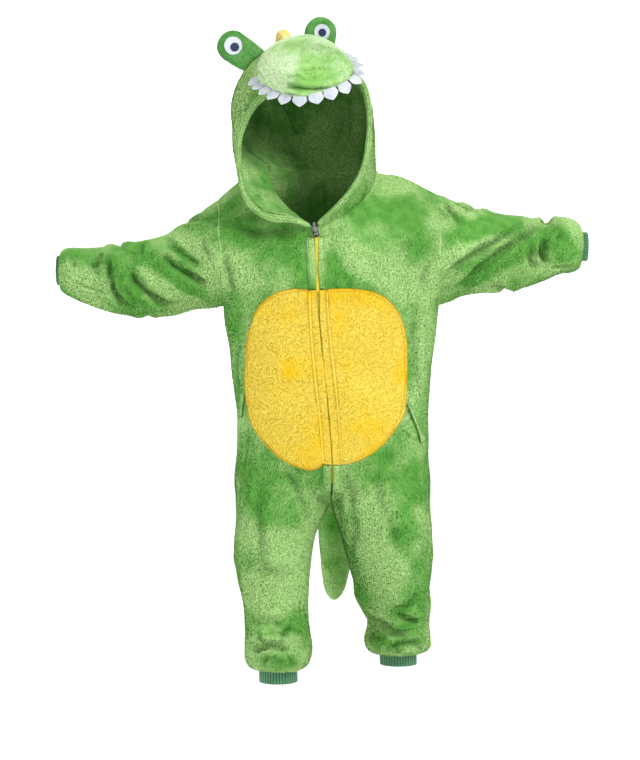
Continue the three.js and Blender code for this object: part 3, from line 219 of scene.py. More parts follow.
def fleece(name, tones, stands_from=STANDS_FROM):
    """One colour of fleece: its cloth and its pile."""
    cloth = plush(name + "_fleece", *tones, stands_from)
    return cloth, plush(name + "_pile", *tones, stands_from, blades=True)


def felt(name, deep, pale):
    """Pressed felt: matted fibres with a faint fleck."""
    material, add, place = stuff(name)
    fibres = speckle(add, place, 420, 5, 0.75, 1.2)
    share = maths(add, "MULTIPLY_ADD", fibres, 0.6, speckle(add, place, 60, 2))
    return feed(material, {
        "Base Color": two_tones(add, share, deep, pale, 0.5, 0.95),
        "Normal": bumps(add, fibres, 0.5, 0.5 * MM),
        "Roughness": 0.9,
        "Specular IOR Level": 0.25,
        "Sheen Weight": 0.2,
    })


def knit(name, deep, pale):
    """Rib knit: fine stitch courses over the modelled ribs, with painted shade in the valleys between them.
    """
    material, add, place = stuff(name)
    courses = speckle(add, place, 650, 3, 0.6)
    # The rib value is low in the valleys between ribs, which are painted darker as shade.
    share = maths(add, "MULTIPLY_ADD", courses, 0.35, kept_at(add, "rib"))
    share = maths(add, "MULTIPLY_ADD", speckle(add, place, 70, 2), 0.25, share)
    return feed(material, {
        "Base Color": two_tones(add, share, deep, pale, 0.2),
        "Normal": bumps(add, courses, 0.6, 0.5 * MM),
        "Roughness": 0.85,
        "Sheen Weight": 0.15,
    })


def woven(name, deep, pale):
    """Zip tape: a tight weave in two directions."""
    material, add, place = stuff(name)
    weave = {"Vector": place, "Scale": 900, "Distortion": 0.6}
    both = maths(add, "MAXIMUM", *[
        add("ShaderNodeTexWave", weave, bands_direction=way).outputs["Fac"] for way in ("X", "Z")
    ])
    return feed(material, {
        "Base Color": two_tones(add, both, deep, pale),
        "Normal": bumps(add, both, 0.5, 0.2 * MM),
        "Roughness": 0.75,
    })


def thread(name, deep, pale):
    """Sewing thread: a twist of two tones."""
    material, add, place = stuff(name)
    twist = speckle(add, place, 1600, 1)
    return feed(material, {"Base Color": two_tones(add, twist, deep, pale), "Roughness": 0.6})


def moulded(name, deep, pale):
    """Moulded plastic: nearly even, with a faint mottle and small scuffs in its gloss."""
    material, add, place = stuff(name)
    return feed(material, {
        "Base Color": two_tones(add, speckle(add, place, 300, 2), deep, pale),
        "Roughness": spread(add, speckle(add, place, 1100, 3, 0.7), 0, 1, 0.3, 0.6),
    })


def worn_metal(name, deep, pale, rough):
    """Cast zip metal: slightly pitted, paler where it is rubbed."""
    material, add, place = stuff(name)
    pits = speckle(add, place, 700, 4, 0.7)
    return feed(material, {
        "Base Color": two_tones(add, speckle(add, place, 160, 2), deep, pale, 0.35, 0.75),
        "Roughness": spread(add, pits, 0, 1, rough - 0.1, rough + 0.15),
        "Normal": bumps(add, pits, 0.3, 0.1 * MM),
        "Metallic": 0.9,
    })


# Each fleece's tones: brushed flat, then standing, the deeper of each first.
green_cloth, green_pile = fleece("green", (("4a8e34", "66a647"), ("72a152", "b0d689")))
# The snout's fleece: a paler green whose nap stands, made paler still as painted light for its well-lit dome.
pale_and_lit_cloth, pale_and_lit_pile = fleece("pale_green", (("76b850", "9cd272"), ("a4cd82", "e2f5cc")), 0.32)
stalk_cloth, stalk_pile = fleece("stalk", (("3f8437", "5b9c4c"), ("5f9650", "94c682")), 0.5)
yellow_cloth, yellow_pile = fleece("yellow", (("e2b60c", "eec81c"), ("d2ae2a", "ebd65a")), 0.25)
spike_cloth, spike_pile = fleece("spike", (("f2c832", "fbe068"), ("f0d478", "fff2b0")))
# Darker yellow for the belly's seam roll: painted shade, for the thin shadow round the belly's edge.
yellow_seam = plush("yellow_seam", ("b58a08", "cc9e10"), ("b58a08", "cc9e10"))
rib_green = knit("rib_green", "16301f", "4f8a63")
white_felt = felt("white_felt", "a8b0ba", "d3d8e0")
navy_felt = felt("navy_felt", "0e1526", "2c3a58")
tape_cloth = woven("zip_tape_cloth", "d8ac14", "f8d838")
tooth_plastic = moulded("zip_tooth_plastic", "f8d81c", "fff060")
slider_metal = worn_metal("slider_metal", "34302a", "6b6458", 0.42)
pull_metal = worn_metal("pull_metal", "77717f", "b9b3c4", 0.36)
green_thread = thread("green_thread", "2f6428", "4b8a3c")
yellow_thread = thread("yellow_thread", "b98a14", "d9a81c")


# Shapes
WELD = 0.02 * MM
SHARP = math.radians(48)
FLAT_ENOUGH = math.radians(40)
SQUARE_ENOUGH = math.radians(50)
SMOOTH_LEVELS = 2


def mesh_object(name, mesh, material=None):
    piece = bpy.data.objects.new(name, mesh)
    bpy.context.scene.collection.objects.link(piece)
    if material:
        mesh.materials.clear()
        mesh.materials.append(material)
    return piece


def object_from(bm, name, material=None):
    """An object with smooth faces."""
    for face in bm.faces:
        face.smooth = True
    mesh = bpy.data.meshes.new(name)
    bm.to_mesh(mesh)
    bm.free()
    return mesh_object(name, mesh, material)


def turned_out(bm, name, material=None):
    """An object with smooth faces, all turned out."""
    bmesh.ops.recalc_face_normals(bm, faces=bm.faces)
    return object_from(bm, name, material)


def join_rings(bm, rings, ends=True):
    """Faces from each ring of points to the next, and over the ends."""
    for low, high in zip(rings, rings[1:]):
        count = len(low)
        for j in range(count):
            bm.faces.new((low[j], low[(j + 1) % count], high[(j + 1) % count], high[j]))
    if ends:
        bm.faces.new(rings[0])
        bm.faces.new(rings[-1])


def evaluated(piece):
    """The object's mesh with its modifiers applied, on the same object."""
    graph = bpy.context.evaluated_depsgraph_get()
    mesh = bpy.data.meshes.new_from_object(piece.evaluated_get(graph))
    piece.modifiers.clear()
    old = piece.data
    piece.data = mesh
    bpy.data.meshes.remove(old)
    return piece


def points_of(mesh, kind="co"):
    values = np.zeros(len(mesh.vertices) * 3, np.float32)
    if kind == "co":
        mesh.vertices.foreach_get("co", values)
    else:
        mesh.vertex_normals.foreach_get("vector", values)
    return values.reshape(-1, 3).astype(float)


def put_points(mesh, points):
    mesh.vertices.foreach_set("co", points.astype(np.float32).ravel())
    mesh.update()


def keep_values(mesh, name, values):
    """Keeps a value at each point, which materials and geometry nodes find by its name."""
    attribute = mesh.attributes.new(name, "FLOAT", "POINT")
    attribute.data.foreach_set("value", values.astype(np.float32))


def tree_of(mesh):
    return BVHTree.FromPolygons([v.co for v in mesh.vertices], [p.vertices for p in mesh.polygons])


def finder_of(points):
    """Finds the nearest of these points, by its place in their order."""
    finder = KDTree(len(points))
    for i, point in enumerate(points):
        finder.insert(point, i)
    finder.balance()
    return finder


def welded(node):
    """A CAD node's mesh with its doubles merged, and its sharp edges."""
    bm = bmesh.new()
    bm.from_mesh(nodes[node].data)
    bmesh.ops.remove_doubles(bm, verts=bm.verts, dist=WELD)
    return bm, [e for e in bm.edges if len(e.link_faces) == 2 and e.calc_face_angle(0) > SHARP]


def softened(node, name, material, rounding=0):
    """A CAD node's shape as smooth cloth: its cut edges rounded and its facets subdivided."""
    bm, edges = welded(node)
    if rounding:
        bmesh.ops.bevel(
            bm, geom=edges, offset=rounding, offset_type="OFFSET", segments=1, profile=0.5, affect="EDGES",
            clamp_overlap=True,
        )
    bmesh.ops.join_triangles(
        bm, faces=bm.faces, angle_face_threshold=FLAT_ENOUGH, angle_shape_threshold=SQUARE_ENOUGH
    )
    piece = object_from(bm, name, material)
    smooth = piece.modifiers.new("smooth", "SUBSURF")
    smooth.levels = smooth.render_levels = SMOOTH_LEVELS
    return evaluated(piece)


# The line that each kind of piece wraps round, which tells its outside from its inside, as places in mm.
BODY_LINE = {
    "left": ((-10, 0, 60), (-10, 0, -400), (60, 10, -480), (92, 35, -600), (105, 55, -740)),
    "right": ((-10, 0, 60), (-10, 0, -400), (-72, 0, -480), (-82, -25, -600), (-77, -56, -740)),
}
SLEEVE_LINE = {
    "left": ((150, 2, -90), (260, 8, -88), (340, 18, -85), (362, 20, -85)),
    "right": ((-150, 0, -92), (-250, -7, -128), (-350, -17, -126), (-386, -20, -121)),
}
HEAD_LINE = ((-22, 8, -40), (-40, 10, 60), (-50, 0, 110))


def nearest_on(line, points):
    """For each point, the nearest place on a line, how far it is and the share of the line before it."""
    line = np.array(line, float)
    spans = np.linalg.norm(np.diff(line, axis=0), axis=1)
    before = np.concatenate([[0], np.cumsum(spans)])
    best = np.full(len(points), np.inf)
    place = np.zeros_like(points)
    share = np.zeros(len(points))
    for start, end, span, run in zip(line, line[1:], spans, before):
        along = end - start
        t = np.clip((points - start) @ along / max(span * span, 1e-12), 0, 1)
        foot = start + t[:, None] * along
        away = np.linalg.norm(points - foot, axis=1)
        closer = away < best
        best[closer] = away[closer]
        place[closer] = foot[closer]
        share[closer] = (run + t[closer] * span) / before[-1]
    return place, best, share


FACES_OUT = 0.25
BEHIND_FRONT = np.array((0, 0.4, 0))


def outward_of(mesh, line):
    """Each point's way out of the cloth, the same on both faces of a wall, and whether it is outside."""
    points = points_of(mesh)
    normals = points_of(mesh, "normal")
    if line is None:
        away = points - (points.mean(axis=0) + BEHIND_FRONT)
    else:
        away = points - nearest_on(np.array(line) * MM, points)[0]
    away /= np.maximum(np.linalg.norm(away, axis=1), 1e-9)[:, None]
    outer = np.einsum("ij,ij->i", normals, away) > FACES_OUT
    found = np.flatnonzero(outer)
    finder = finder_of(points[found])
    nearest = np.array([finder.find(p)[1] for p in points])
    return normals[found[nearest]], outer


WAVE_GAIN = 1.6


def waves(points, pitch, seed):
    """Soft uneven waves between about -1 and 1, of about the pitch in metres."""
    shift = Vector((seed * 7.3, seed * 3.1, -seed * 5.7))
    return np.array([noise.noise(Vector(p) / pitch + shift) for p in points]) * WAVE_GAIN


FADE_SHARE = 0.22
SWELL_HIGH = 0.55
SWELL_AWAY = 1.95
SWELL_WIDE = 0.95


def fading(share):
    """1 along the middle of a fold, down to 0 at its ends."""
    return np.clip(np.minimum(share, 1 - share) / FADE_SHARE, 0, 1)


def fold_push(points, line, width, depth):
    """How far a fold pushes points out: a soft trough with a swell on each side, fading at its ends."""
    away, share = nearest_on(line, points)[1:]
    ends = fading(share)
    strength = ends * ends * (3 - 2 * ends) * (0.82 + 0.18 * np.sin(9 * share + 40 * points[:, 2]))
    reach = away / width
    trough = -np.exp(-(reach**2))
    swell = SWELL_HIGH * np.exp(-(((reach - SWELL_AWAY) / SWELL_WIDE) ** 2))
    return depth * strength * (trough + swell)


# Folds that the photograph shows, by place in the photograph: the line, then width and depth in mm.
FOLDS = {
    "sleeve_right": (
        (((93, 241), (101, 251), (99, 262), (91, 269)), 4.5, 7),
        (((107, 252), (109, 270), (112, 288), (121, 301), (132, 308)), 5, 8),
        (((116, 243), (130, 265), (135, 281), (146, 292), (161, 302), (176, 307)), 6, 9),
        (((156, 234), (159, 252), (173, 265), (193, 276), (211, 286)), 5, 7),
        (((165, 238), (177, 250), (192, 260), (205, 268)), 5, 3.5),
        (((144, 240), (141, 250), (144, 258)), 4, 3),
        (((62, 274), (86, 287), (113, 294), (132, 307), (159, 311), (188, 313)), 2.2, 2.6),
        (((78, 246), (72, 256), (74, 268)), 4, 3),
        (((200, 236), (206, 250), (213, 262)), 4, 2.6),
    ),
    "sleeve_left": (
        (((442, 278), (458, 265), (477, 253), (504, 236), (524, 225)), 6, 7),
        (((450, 293), (476, 270), (504, 248), (527, 233), (541, 222)), 6, 8),
        (((546, 236), (541, 252), (545, 265), (546, 280)), 5, 10),
        (((532, 244), (530, 256), (534, 270)), 5, 5),
        (((574, 220), (563, 231), (555, 240)), 2.6, 4),
        (((441, 203), (452, 214), (462, 228)), 4, 3),
        (((452, 202), (470, 212), (482, 214)), 4, 2.4),
        (((552, 268), (563, 267), (574, 266)), 3, 4),
        (((446, 297), (480, 294), (512, 290), (542, 285)), 2.2, 2.4),
    ),
    "front_right": (
        (((222, 236), (226, 262), (232, 286), (238, 300)), 7, 3.5),
        (((236, 226), (258, 232), (282, 230), (300, 227)), 7, 3.5),
        (((262, 480), (258, 520), (262, 560), (270, 590)), 8, 3),
        (((284, 470), (296, 486), (304, 506), (308, 526)), 6, 3.5),
        (((250, 424), (247, 446), (243, 470), (240, 500), (238, 530)), 3.5, 3),
        (((247, 560), (262, 570), (280, 574), (296, 570)), 9, 3),
        (((252, 623), (262, 621), (274, 622), (284, 625)), 4.5, 6),
        (((246, 628), (256, 637), (266, 643), (276, 645)), 4.5, 4),
        (((249, 655), (258, 649), (268, 646), (279, 647), (291, 651)), 5.5, 11),
        (((293, 625), (286, 633), (279, 640)), 5, 4.5),
        (((301, 599), (301, 618), (304, 641), (304, 664)), 2.4, 3),
        (((262, 668), (266, 659), (272, 655)), 3.5, 3),
        (((290, 668), (291, 660), (288, 654)), 3.5, 3),
        (((240, 340), (236, 366), (240, 392)), 6, 2.6),
    ),
    "front_left": (
        (((420, 296), (414, 330), (417, 372), (423, 396)), 7, 3),
        (((403, 403), (416, 424), (428, 446)), 4, 3.4),
        (((345, 470), (352, 500), (356, 530), (352, 560)), 7, 3.5),
        (((374, 468), (380, 500), (394, 530), (400, 560)), 8, 2.8),
        (((322, 474), (330, 490), (338, 506), (342, 524)), 5, 3.2),
        (((431, 581), (420, 593), (408, 606), (396, 613)), 9, 4.5),
        (((396, 617), (410, 620), (420, 622), (434, 623)), 4.6, 12),
        (((357, 581), (362, 598), (370, 614), (382, 623), (396, 632), (410, 637)), 5.5, 11),
        (((364, 626), (370, 632), (378, 640)), 4, 6),
        (((374, 609), (378, 625), (379, 649)), 2.4, 3),
        (((388, 652), (398, 644), (412, 643), (424, 648)), 6, 4.5),
        (((392, 662), (395, 654), (399, 650)), 3.5, 3),
        (((418, 660), (418, 652), (422, 647)), 3.5, 3),
        (((440, 240), (428, 262), (420, 286)), 8, 2.6),
    ),
    "snout": (
        (((284, 84), (292, 86.5), (304, 88.8), (319, 89.6), (331, 88.4), (341, 85.6), (348, 80)), 3.2, 8),
        (((292, 62), (304, 60), (312, 63)), 2.4, 2),
        (((300, 72), (314, 68), (328, 70)), 2.6, 2),
        (((318, 56), (330, 52), (341, 55)), 2.4, 2),
        (((284, 78), (296, 76), (306, 80)), 2.4, 1.8),
        (((322, 80), (334, 77), (344, 72)), 2.6, 2),
        (((300, 50), (312, 48), (322, 50)), 2.4, 1.4),
        (((258, 72), (264, 80), (268, 90)), 3, 3),
    ),
    "hood_right": (
        (((257, 76), (252, 92), (247, 110), (243, 130)), 4, 6),
        (((240, 92), (240, 106), (242, 124), (246, 138)), 4, 5),
        (((250, 70), (246, 86), (240, 100)), 3.5, 3),
        (((245, 150), (248, 172), (256, 192), (268, 208)), 5, 2.6),
    ),
    "hood_left": (
        (((338, 228), (348, 221), (360, 214), (368, 203)), 3.4, 5),
        (((368, 120), (371, 142), (368, 166), (360, 186)), 5, 2.6),
        (((366, 92), (371, 106), (373, 122)), 4, 2.6),
    ),
}
# Folds on the sides that the photograph hides, in mm: the side looked from, the line, width and depth.
HIDDEN_FOLDS = {
    "back_right": (
        ("back", ((-150, -178), (-128, -196), (-96, -205), (-60, -204)), 8, 5),
        ("back", ((-140, -60), (-128, -96), (-124, -132), (-132, -160)), 8, 3.5),
        ("back", ((-30, -70), (-62, -84), (-92, -84), (-116, -70)), 9, 3),
        ("back", ((-20, -330), (-52, -350), (-88, -352), (-122, -340)), 9, 3.5),
        ("back", ((-30, -440), (-52, -462), (-84, -470), (-118, -462)), 7, 5),
        ("back", ((-120, -520), (-100, -548), (-92, -580), (-98, -606)), 8, 3.5),
        ("back", ((-128, -628), (-104, -640), (-76, -642), (-48, -632)), 6, 7),
        ("back", ((-118, -662), (-94, -672), (-70, -672), (-44, -664)), 5, 7),
        ("back", ((-64, -600), (-80, -616), (-104, -618)), 6, 4),
    ),
    "back_left": (
        ("back", ((152, -176), (122, -196), (86, -206), (50, -202)), 8, 5),
        ("back", ((136, -56), (122, -92), (118, -130), (128, -158)), 8, 3.5),
        ("back", ((12, -68), (40, -84), (72, -86), (98, -72)), 9, 3),
        ("back", ((24, -336), (56, -352), (92, -350), (128, -336)), 9, 3.5),
        ("back", ((34, -440), (54, -464), (88, -474), (124, -466)), 7, 5),
        ("back", ((132, -520), (116, -550), (106, -584), (112, -606)), 8, 3.5),
        ("back", ((66, -640), (92, -650), (118, -648), (144, -634)), 6, 7),
        ("back", ((72, -668), (96, -676), (120, -674), (142, -664)), 5, 6),
        ("back", ((74, -604), (96, -620), (122, -620)), 6, 4),
    ),
    "sleeve_right": (
        ("back", ((-178, -140), (-204, -118), (-234, -98), (-262, -84)), 7, 7),
        ("back", ((-214, -160), (-246, -140), (-278, -116), (-302, -96)), 7, 8),
        ("back", ((-268, -170), (-292, -150), (-318, -128), (-334, -104)), 6, 7),
        ("back", ((-330, -160), (-344, -140), (-352, -116), (-350, -92)), 6, 8),
        ("back", ((-176, -60), (-196, -66), (-214, -64)), 6, 3),
        ("top", ((-190, -30), (-214, -8), (-232, 20)), 6, 4),
        ("top", ((-300, -30), (-318, -6), (-322, 18)), 6, 5),
        ("under", ((-260, -20), (-284, 6), (-290, 28)), 6, 5),
    ),
    "sleeve_left": (
        ("back", ((170, -146), (196, -122), (226, -102), (252, -84)), 7, 7),
        ("back", ((206, -152), (236, -132), (266, -108), (290, -84)), 7, 8),
        ("back", ((262, -140), (286, -122), (306, -102), (318, -80)), 6, 6),
        ("back", ((318, -124), (330, -106), (334, -84), (330, -62)), 6, 8),
        ("back", ((172, -60), (190, -66), (208, -62)), 6, 3),
        ("top", ((196, -26), (216, -4), (226, 24)), 6, 4),
        ("top", ((318, -10), (326, 14), (322, 40)), 6, 5),
        ("under", ((240, -20), (262, 4), (270, 28)), 6, 5),
    ),
    "hood_right": (
        ("back", ((-128, 60), (-116, 84), (-112, 112), (-120, 140)), 8, 4),
        ("back", ((-44, 52), (-70, 56), (-98, 58)), 8, 3.4),
        ("back", ((-100, 172), (-112, 180), (-124, 178)), 6, 3),
    ),
    "hood_left": (
        ("back", ((50, 52), (38, 78), (34, 108), (42, 138)), 8, 4),
        ("back", ((-6, 50), (22, 56), (48, 54)), 8, 3.4),
        ("back", ((-48, 160), (-22, 172), (6, 172)), 7, 3),
    ),
}
LOOKS = {"back": (0, 1, 0), "top": (0, 0, 1), "under": (0, 0, -1)}


def line_in_photo(tree, places):
    """Places in the photograph, on the cloth that they show. A place that misses the cloth is left out."""
    hits = [tree.ray_cast(*photo_ray(*place))[0] for place in places]
    return [tuple(hit) for hit in hits if hit]


def line_from(tree, look, places):
    """Places seen straight on from a hidden side, on the cloth."""
    way = Vector(LOOKS[look])
    hits = []
    for a, b in places:
        flat = Vector((a, 0, b)) if look == "back" else Vector((a, b, -100))
        hits.append(tree.ray_cast(flat * MM + way, -way)[0])
    return [tuple(hit) for hit in hits if hit]

# Where the nap is brushed flat (below 0) or stands (above 0): the line in the photograph, its reach in mm.
# Two patches are painted shade and painted light laid as nap: the hood's shadow on the chest, and light on
# the hood's side.
NAP_AND_PAINTED_LIGHT = {
    "front_right": (
        (((283, 244), (292, 262), (299, 282)), 20, -1),
        # Painted shadow of the hood on the chest below it, laid as brushed nap.
        (((222, 214), (240, 234)), 22, -1),
        (((226, 264), (250, 280)), 20, 1),
        (((236, 320), (238, 380)), 16, -0.6),
        (((262, 530), (268, 560), (272, 590)), 34, 1),
        (((246, 474), (256, 500), (264, 522)), 18, -0.9),
        (((262, 636), (282, 632), (298, 626)), 11, -1),
        (((264, 659), (292, 662)), 11, -1),
        (((250, 600), (272, 610)), 18, 0.9),
    ),
    "front_left": (
        (((332, 262), (342, 281)), 17, -1),
        (((388, 208), (414, 222)), 26, -1),
        (((356, 270), (390, 280), (420, 288)), 24, 1),
        (((424, 330), (420, 380)), 16, 0.5),
        (((410, 478), (408, 510), (400, 535)), 17, -1),
        (((354, 498), (366, 540), (378, 572)), 28, 1),
        (((394, 612), (414, 598), (426, 580)), 12, -1),
        (((384, 637), (400, 643), (420, 640)), 10, -1),
    ),
    "sleeve_right": (
        (((83, 252), (88, 262)), 22, -1),
        (((112, 262), (126, 282), (140, 302)), 11, -1),
        (((134, 246), (152, 264), (176, 280), (200, 292)), 13, -1),
        (((174, 247), (196, 262)), 8, -1),
        (((148, 271), (170, 287), (196, 301)), 9, 1),
        (((186, 238), (204, 256), (216, 272)), 14, 1),
        (((84, 279), (110, 291)), 14, 0.9),
    ),
    "sleeve_left": (
        (((450, 236), (480, 230), (512, 222)), 14, -1),
        (((446, 264), (470, 251), (500, 238)), 10, 1),
        (((470, 282), (500, 264), (528, 246)), 12, -0.9),
        (((554, 236), (566, 256)), 18, -1),
        (((446, 208), (470, 216)), 10, 0.9),
    ),
    # Painted light: the hood's side made paler where light falls on it, laid as standing nap.
    "hood_right": ((((240, 92), (240, 130), (246, 170)), 20, 0.8),),
}
NAP_SHARE = 0.22
nap_and_painted_light_lines = []


def find_nap_and_painted_light(node, tree):
    for places, reach, amount in NAP_AND_PAINTED_LIGHT.get(node, ()):
        line = line_in_photo(tree, places)
        if line:
            nap_and_painted_light_lines.append((line, reach * MM, amount))


def brush_nap_and_painted_light(piece, stand=0.0):
    """Keeps at each point how its nap lies, with its patches of painted light and shade, for the cloth's
    colours and its pile's.
    """
    points = points_of(piece.data)
    value = np.full(len(points), stand)
    for line, reach, amount in nap_and_painted_light_lines:
        value += amount * np.exp(-((nearest_on(line, points)[1] / reach) ** 2))
    keep_values(piece.data, "nap", NAP_SHARE * np.clip(value, -1, 1))


def line_to_wrap(node):
    side = node.rsplit("_", 1)[-1]
    if node.startswith(("front", "back")):
        return BODY_LINE[side]
    if node.startswith("sleeve"):
        return SLEEVE_LINE[side]
    if node.startswith("hood_") and "hem" not in node:
        return HEAD_LINE
    return None


WIDE_WAVES = (0.05, 1.5 * MM)
SMALL_WAVES = (0.018, 0.3 * MM)
FOLD_DEPTH = 1.5
HOOD_DEPTH = 0.9
fold_lines = []


def find_folds(node, tree):
    """Lays a piece's fold lines on its cloth. They bend its neighbours too, so that seams stay together."""
    deeper = HOOD_DEPTH if node.startswith("hood") else FOLD_DEPTH
    for places, width, depth in FOLDS.get(node, ()):
        fold_lines.append((line_in_photo(tree, places), width * MM, deeper * depth * MM))
    for look, places, width, depth in HIDDEN_FOLDS.get(node, ()):
        fold_lines.append((line_from(tree, look, places), width * MM, deeper * depth * MM))


def folds_at(points):
    """How far all the folds near these points push them out."""
    push = np.zeros(len(points))
    for line, width, depth in fold_lines:
        if len(line) < 2:
            continue
        ends = np.array(line)
        reach = 4 * width
        near = np.all((points > ends.min(axis=0) - reach) & (points < ends.max(axis=0) + reach), axis=1)
        if near.any():
            push[near] += fold_push(points[near], line, width, depth)
    return push


# Painted shade in fold troughs: full at this fold depth, narrower than the fold, and at most this share.
CREASE_FULL = 9 * MM
CREASE_NARROW = 1.5
CREASE_SHARE = 0.8


def paint_crease_shade(piece, points):
    """Keeps at each point how far it lies down in a fold, as painted shade for the cloth and its pile."""
    depth_there = np.zeros(len(points))
    for line, width, depth in fold_lines:
        if len(line) < 2:
            continue
        away, share = nearest_on(line, points)[1:]
        here = min(1, depth / CREASE_FULL) * fading(share) * np.exp(-((CREASE_NARROW * away / width) ** 2))
        depth_there = np.maximum(depth_there, here)
    keep_values(piece.data, "crease", CREASE_SHARE * depth_there)


def creased(piece, node):
    """Pushes folds and unevenness into a piece, and keeps painted shade for its fold troughs. Tells which
    points are outside, their places and moves.
    """
    outward, outer = outward_of(piece.data, line_to_wrap(node))
    points = points_of(piece.data)
    push = folds_at(points)
    for k, (pitch, height) in enumerate((WIDE_WAVES, SMALL_WAVES)):
        push += height * waves(points, pitch, 10 * k)
    moved = outward * push[:, None]
    put_points(piece.data, points + moved)
    paint_crease_shade(piece, points)
    return outer, points, moved


# Pile
def node_group(name, sockets):
    """A geometry node group with these inputs, and its node maker and its inputs' outlets."""
    tree = bpy.data.node_groups.new(name, "GeometryNodeTree")
    face = tree.interface
    face.new_socket("Geometry", in_out="INPUT", socket_type="NodeSocketGeometry")
    for label, kind, value in sockets:
        socket = face.new_socket(label, in_out="INPUT", socket_type="NodeSocket" + kind)
        if value is not None:
            socket.default_value = value
    face.new_socket("Geometry", in_out="OUTPUT", socket_type="NodeSocketGeometry")
    add = node_adder(tree)
    return tree, add, add("NodeGroupInput").outputs


def end_group(tree, add, material, shape, points):
    """Puts a shape on each point, as a real mesh in its material, and ends the group with it."""
    shape = add("GeometryNodeObjectInfo", {"Object": shape}, transform_space="ORIGINAL").outputs["Geometry"]
    placed = add("GeometryNodeInstanceOnPoints", {**points, "Instance": shape}).outputs["Instances"]
    real = add("GeometryNodeRealizeInstances", {"Geometry": placed}).outputs["Geometry"]
    painted = add("GeometryNodeSetMaterial", {"Geometry": real, "Material": material}).outputs["Geometry"]
    add("NodeGroupOutput", {"Geometry": painted})
    return tree


def draw(add, seed, low, high, kind="FLOAT"):
    """Numbers drawn for each point. Vectors come out of outlet 0, single numbers out of outlet 1."""
    outlet = 0 if kind == "FLOAT_VECTOR" else 1
    inputs = {"Min": low, "Max": high, "Seed": seed}
    return add("FunctionNodeRandomValue", inputs, data_type=kind).outputs[outlet]


def turned_by(add, rotation, angle):
    """A rotation with a turn about its own upright axis after it."""
    turn = add("FunctionNodeAxisAngleToRotation", {"Axis": (0.0, 0.0, 1.0), "Angle": angle})
    both = {"Rotation": rotation, "Rotate By": turn.outputs["Rotation"]}
    return add("FunctionNodeRotateRotation", both, rotation_space="LOCAL").outputs["Rotation"]


HANG = (0.0, 0.0, -0.75)
SWIRL_SCALE = 11.0
SWIRL = 1.5
LOOSE = 0.28
FACING_DOWN = 0.08
BLADE_SPIN = 6.28
BLADE_LENGTHS = (0.65, 1.15)


def pile_tree(material):
    """Geometry nodes for pile: a leaning blade on each scattered point, shorter where "pile" is low."""
    tree, add, enter = node_group("pile", (
        ("Density", "Float", 400000.0), ("Length", "Float", 2 * MM), ("Width", "Float", 0.7 * MM),
        ("Lean", "Float", 2.6), ("Seed", "Int", 1), ("Blade", "Object", None),
    ))
    seed = enter["Seed"]

    def vectors(operation, inputs):
        return add("ShaderNodeVectorMath", inputs, operation=operation).outputs["Vector"]

    def keep(geometry, name, value, kind):
        inputs = {"Geometry": geometry, "Name": name, "Value": value}
        stored = add("GeometryNodeStoreNamedAttribute", inputs, data_type=kind, domain="POINT")
        return stored.outputs["Geometry"]

    cover = add("GeometryNodeInputNamedAttribute", {"Name": "pile"}, data_type="FLOAT").outputs["Attribute"]
    scatter = add(
        "GeometryNodeDistributePointsOnFaces",
        {"Mesh": enter["Geometry"], "Density": maths(add, "MULTIPLY", enter["Density"], cover), "Seed": seed},
        distribute_method="RANDOM",
    ).outputs
    place = add("GeometryNodeInputPosition").outputs["Position"]
    swirl = add("ShaderNodeTexNoise", {"Vector": place, "Scale": SWIRL_SCALE, "Detail": 1.0}).outputs["Color"]
    sway = vectors("SCALE", {0: vectors("SUBTRACT", {0: swirl, 1: (0.5, 0.5, 0.5)}), "Scale": SWIRL})
    down = vectors("ADD", {0: sway, 1: HANG})
    loose = draw(add, seed, (-LOOSE, -LOOSE, -LOOSE), (LOOSE, LOOSE, LOOSE), "FLOAT_VECTOR")
    nap = vectors("ADD", {0: vectors("SCALE", {0: down, "Scale": enter["Lean"]}), 1: loose})
    way = vectors("ADD", {0: scatter["Normal"], 1: nap})
    facing = vectors("ADD", {0: scatter["Normal"], 1: vectors("SCALE", {0: down, "Scale": FACING_DOWN})})
    kept = keep(scatter["Points"], "facing", vectors("NORMALIZE", {0: facing}), "FLOAT_VECTOR")
    kept = keep(kept, "tone", draw(add, seed, 0.0, 1.0), "FLOAT")
    stood = add("FunctionNodeAlignRotationToVector", {"Vector": way}, axis="Z").outputs["Rotation"]
    spun = turned_by(add, stood, draw(add, seed, 0.0, BLADE_SPIN))
    tall = maths(add, "MULTIPLY", draw(add, seed, *BLADE_LENGTHS), enter["Length"])
    tall = maths(add, "MULTIPLY", tall, cover)
    scale = add("ShaderNodeCombineXYZ", {"X": enter["Width"], "Y": enter["Width"], "Z": tall})
    points = {"Points": kept, "Rotation": spun, "Scale": scale.outputs["Vector"]}
    return end_group(tree, add, material, enter["Blade"], points)


def run_group(piece, tree, values):
    """Runs a node group on a piece with these values, and keeps the smooth mesh that comes out."""
    modifier = piece.modifiers.new("nodes", "NODES")
    modifier.node_group = tree
    for item in tree.interface.items_tree:
        if item.item_type == "SOCKET" and item.in_out == "INPUT" and item.name in values:
            modifier[item.identifier] = values[item.name]
    evaluated(piece)
    piece.data.polygons.foreach_set("use_smooth", np.ones(len(piece.data.polygons), bool))


def dress(piece):
    """Says which body a piece moves with."""
    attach(piece, "costume")
    return piece


def one_blade():
    """A blade one unit wide and one unit tall, which the pile scales."""
    mesh = bpy.data.meshes.new("blade")
    mesh.from_pydata([(-0.5, 0, 0), (0.5, 0, 0), (0, 0, 1)], [], [(0, 1, 2)])
    blade = mesh_object("blade", mesh)
    blade.hide_render = True
    return blade


